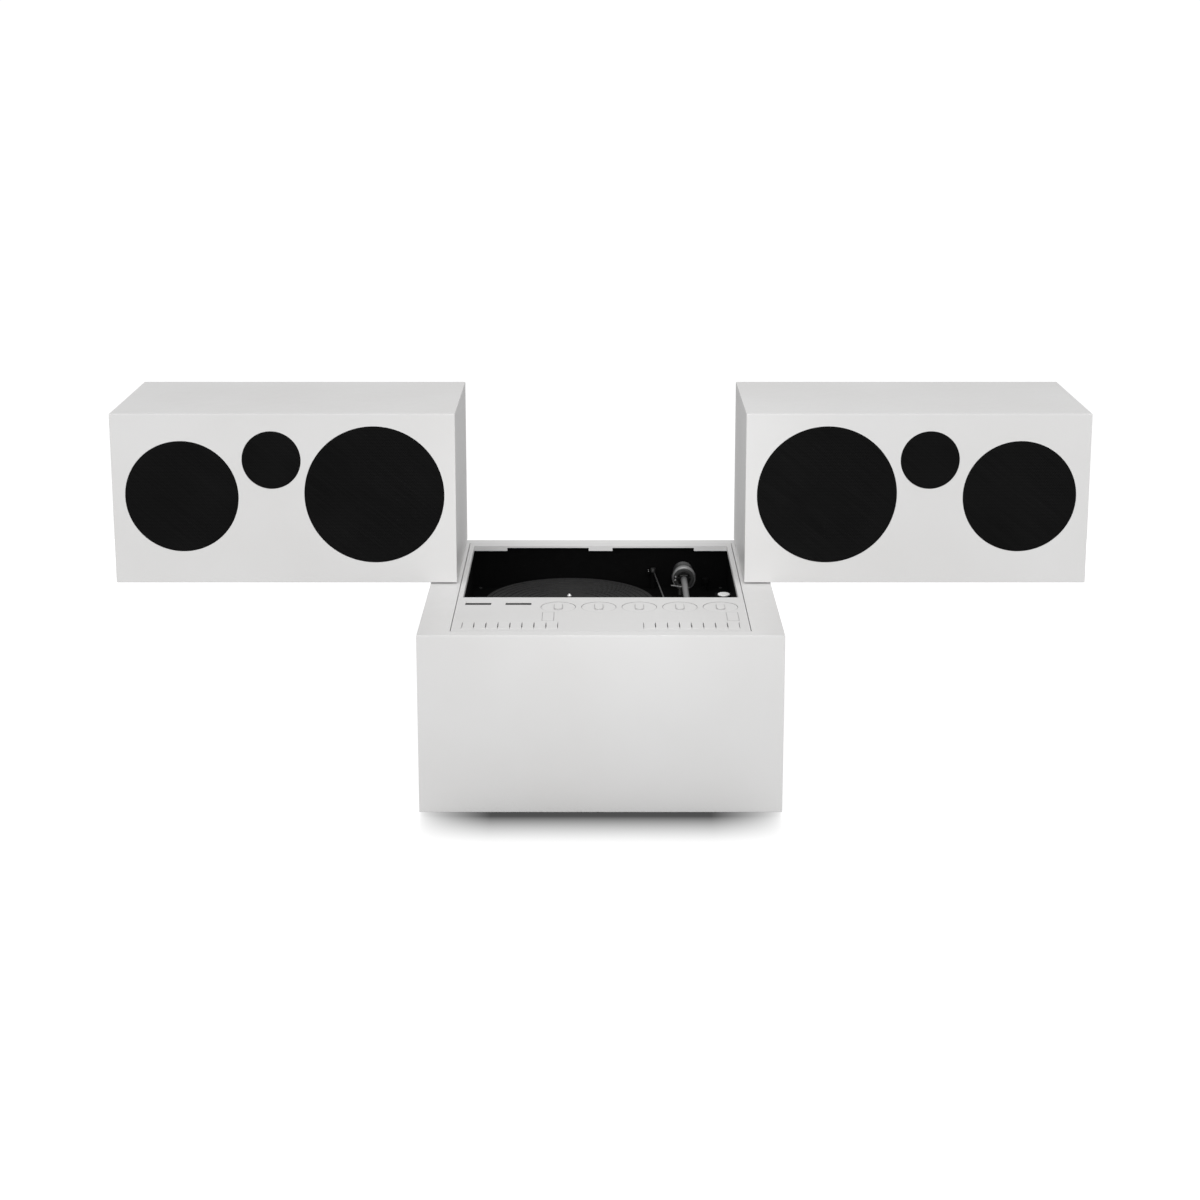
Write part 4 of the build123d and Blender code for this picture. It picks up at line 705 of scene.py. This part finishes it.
def rear_fittings():
    """The rear plate's contacts, fuse cap, terminal nuts and screws, seen through the case's opening."""
    socket_pins()
    mouth, bottom = FUSE_RECESS
    cap = round_outline((0, 0), (FUSE_RADIUS, 0), (FUSE_RADIUS, FUSE_SHOULDER), (FUSE_RIM, FUSE_HEIGHT))
    cap += [(mouth, FUSE_HEIGHT, 6), (bottom, FUSE_RECESS_FLOOR, 6), (0, FUSE_RECESS_FLOOR, 0)]
    place = (-SOCKET_HALF + FUSE_PLACE, SOCKET_FACE + FUSE_STAND, SOCKET_Z)
    Form().turned(cap, place, BACK, sides=48, flute=FUSE_FLUTE).piece("fuse_cap", DARK, "base", "arm_dark")
    nut = round_outline(
        (NUT_BORE, 0), (NUT_RADIUS, 0), (NUT_RADIUS, NUT_SHOULDER), (NUT_RIM, NUT_HEIGHT),
        (NUT_BORE, NUT_HEIGHT), (NUT_BORE, 0),
    )
    nuts = Form()
    for i in range(NUT_COUNT):
        x = SOCKET_HALF - NUT_FIRST + NUT_PITCH * i
        nuts.turned(nut, (x, SOCKET_FACE + NUT_STAND, SOCKET_Z), BACK, sides=48, flute=NUT_FLUTE)
    nuts.piece("terminal_nuts", DARK, "base", "arm_dark")
    reach = SOCKET_HALF - PLATE_SCREW_INSET
    spots = [
        (side * reach, SOCKET_FACE, SOCKET_Z + up * PLATE_SCREW_RISE) for side in (-1, 1) for up in (-1, 1)
    ]
    screws("plate_screws", "base", spots, BACK, PLATE_SCREW)


def underside_fittings():
    """Screws that hold the bottom board, and one in the middle of each foot."""
    reach_x, reach_y = BOARD_HIGH.x - BOARD_SCREW_INSET, BOARD_HIGH.y - BOARD_SCREW_INSET
    spots = [(side * reach_x, share * reach_y, BOARD_LOW.z) for side in (-1, 1) for share in (-1, 0, 1)]
    spots += [(0, end * reach_y, BOARD_LOW.z) for end in (-1, 1)]
    screws("board_screws", "base", spots, DOWN, BOARD_SCREW)
    foot_x, foot_y = FEET_HIGH.x - FOOT_RADIUS, FEET_HIGH.y - FOOT_RADIUS
    spots = [(sx * foot_x, sy * foot_y, FOOT_SCREW_Z) for sx in (-1, 1) for sy in (-1, 1)]
    screws("foot_screws", "base", spots, DOWN, FOOT_SCREW)


def shell_outline(radius):
    """A grille's pressed skin: a rounded shoulder, then a low dome."""
    outline = [(0, GRILLE_BACK, 0), (radius, GRILLE_BACK, 0), (radius, GRILLE_EDGE, 0)]
    for i in range(1, GRILLE_STEPS + 1):
        turn = math.pi / 2 * i / GRILLE_STEPS
        reach = radius - GRILLE_SHOULDER * (1 - math.cos(turn))
        outline.append((reach, GRILLE_EDGE + GRILLE_RISE * math.sin(turn), 0))
    shoulder = radius - GRILLE_SHOULDER
    outline += [(shoulder * k, GRILLE_RISE * (1.2 + 0.1 * (1 - k)), 0) for k in (0.9, 0.6, 0.3)]
    return outline + [(0, 1.3 * GRILLE_RISE, 0)]


def speaker_fittings(side):
    """A loudspeaker box's back screws and the domed, pressed shells of its three grilles."""
    body = f"{side}_speaker"
    low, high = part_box(f"{side}_speaker_back_panel")
    first, last = low.x + BACK_SCREW_INSET, high.x - BACK_SCREW_INSET
    pitch = (last - first) / (BACK_SCREW_COLUMNS - 1)
    columns = [first + i * pitch for i in range(BACK_SCREW_COLUMNS)]
    rows = (low.z + BACK_SCREW_INSET, high.z - BACK_SCREW_INSET)
    spots = [(x, high.y, z) for x in columns for z in rows]
    spots += [(x, high.y, (low.z + high.z) / 2) for x in (first, last)]
    screws(f"{side}_back_screws", body, spots, BACK, BACK_SCREW)
    shells = Form()
    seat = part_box(f"{side}_speaker_grilles")[0].y
    for driver, radius in GRILLE_RADII.items():
        low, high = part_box(f"{side}_speaker_{driver}")
        middle = ((low.x + high.x) / 2, seat, (low.z + high.z) / 2)
        shells.turned(shell_outline(radius), middle, FORWARD, sides=128)
    shells.piece(f"{side}_grille_shells", GRILLE, body, "grille_black")


def make_camera():
    data = bpy.data.cameras.new("photo_camera")
    camera = bpy.data.objects.new("photo_camera", data)
    bpy.context.scene.collection.objects.link(camera)
    camera.location = CAMERA_PLACE
    camera.rotation_euler = (math.pi / 2 - CAMERA_PITCH, 0, 0)
    data.sensor_width = CAMERA_SENSOR
    data.lens = CAMERA_LENS
    data.shift_y = CAMERA_SHIFT
    data.clip_end = CAMERA_FAR
    bpy.context.scene.camera = camera


def floor_material():
    """A pale floor, lit a little from within, with a painted contact shadow, darker colour and weaker glow,
    where the base stands over it.
    """
    p = Paint("floor")
    x, y, _ = p.split()
    far_x, far_y = p.math("ABSOLUTE", x), p.math("ABSOLUTE", y)
    # Painted contact shadow: colour and glow drop near the base, fading towards its corners and away from
    # its front and back
    inside = p.math("SUBTRACT", BASE_HIGH.x, far_x)
    along = p.math("SQRT", p.range(inside, 0.0, SHADE_CORNER))
    beyond = p.math("SUBTRACT", far_y, BASE_HIGH.y)
    across = p.math("POWER", p.range(beyond, 0.0, SHADE_REACH, 1.0, 0.0), SHADE_FALL)
    shade = p.math("MULTIPLY", p.math("MULTIPLY", along, across), SHADE_DEPTH)
    open_floor = p.math("SUBTRACT", 1.0, shade)
    start, end = (share * FLOOR_HALF for share in FLOOR_EDGE_SPAN)
    glow = p.range(p.math("MAXIMUM", far_x, far_y), start, end, FLOOR_GLOW, FLOOR_EDGE_GLOW)
    seen = p.add("ShaderNodeLightPath").outputs["Is Camera Ray"]
    glow = p.math("MULTIPLY", glow, p.range(seen, 0.0, 1.0, FLOOR_BOUNCE, 1.0))
    p.shader.inputs["Emission Color"].default_value = (1, 1, 1, 1)
    p.put(p.shader.inputs["Emission Strength"], p.math("MULTIPLY", glow, open_floor))
    return p.set(color=p.mix(open_floor, grey(0.0), grey(FLOOR_TONE)), rough=0.9, specular=0.0)


def make_floor():
    mesh = bpy.data.meshes.new("floor")
    corners = [(x * FLOOR_HALF, y * FLOOR_HALF, 0) for x, y in ((-1, -1), (1, -1), (1, 1), (-1, 1))]
    mesh.from_pydata(corners, [], [(0, 1, 2, 3)])
    floor = bpy.data.objects.new("floor", mesh)
    bpy.context.scene.collection.objects.link(floor)
    floor.location.z = -FLOOR_DROP
    mesh.materials.append(floor_material())


def make_world():
    """A white surround that the camera sees at full strength, and that lights the part more weakly."""
    world = bpy.data.worlds.new("studio")
    world.use_nodes = True
    tree = world.node_tree
    seen = tree.nodes.new("ShaderNodeLightPath").outputs["Is Camera Ray"]
    level = tree.nodes.new("ShaderNodeMapRange")
    tree.links.new(seen, level.inputs["Value"])
    level.inputs["To Min"].default_value = SURROUND
    level.inputs["To Max"].default_value = SURROUND_SEEN
    back = tree.nodes["Background"]
    back.inputs[0].default_value = (1, 1, 1, 1)
    tree.links.new(level.outputs["Result"], back.inputs[1])
    bpy.context.scene.world = world


def add_light(name, kind, place, target, power):
    """A light of this kind at a place, aimed at a target."""
    data = bpy.data.lights.new(name, kind)
    data.energy = power
    light = bpy.data.objects.new(name, data)
    bpy.context.scene.collection.objects.link(light)
    light.location = place
    light.rotation_euler = (Vector(target) - Vector(place)).to_track_quat("-Z", "Y").to_euler()
    return data


def make_lights():
    for name, place, target, size, power in LIGHTS:
        light = add_light(name, "AREA", place, target, power)
        light.shape = "SQUARE"
        light.size = size
    spot = add_light("well_light", "SPOT", WELL_LIGHT_PLACE, WELL_LIGHT_TARGET, WELL_LIGHT_POWER)
    spot.spot_size = WELL_LIGHT_CONE
    spot.spot_blend = 1.0
    spot.shadow_soft_size = WELL_LIGHT_SIZE


dress_nodes()
make_camera()
arm_fittings()
well_fittings()
rear_fittings()
underside_fittings()
for side in SIDES:
    speaker_fittings(side)
make_floor()
make_world()
make_lights()
bpy.context.scene.view_settings.view_transform = "Standard"
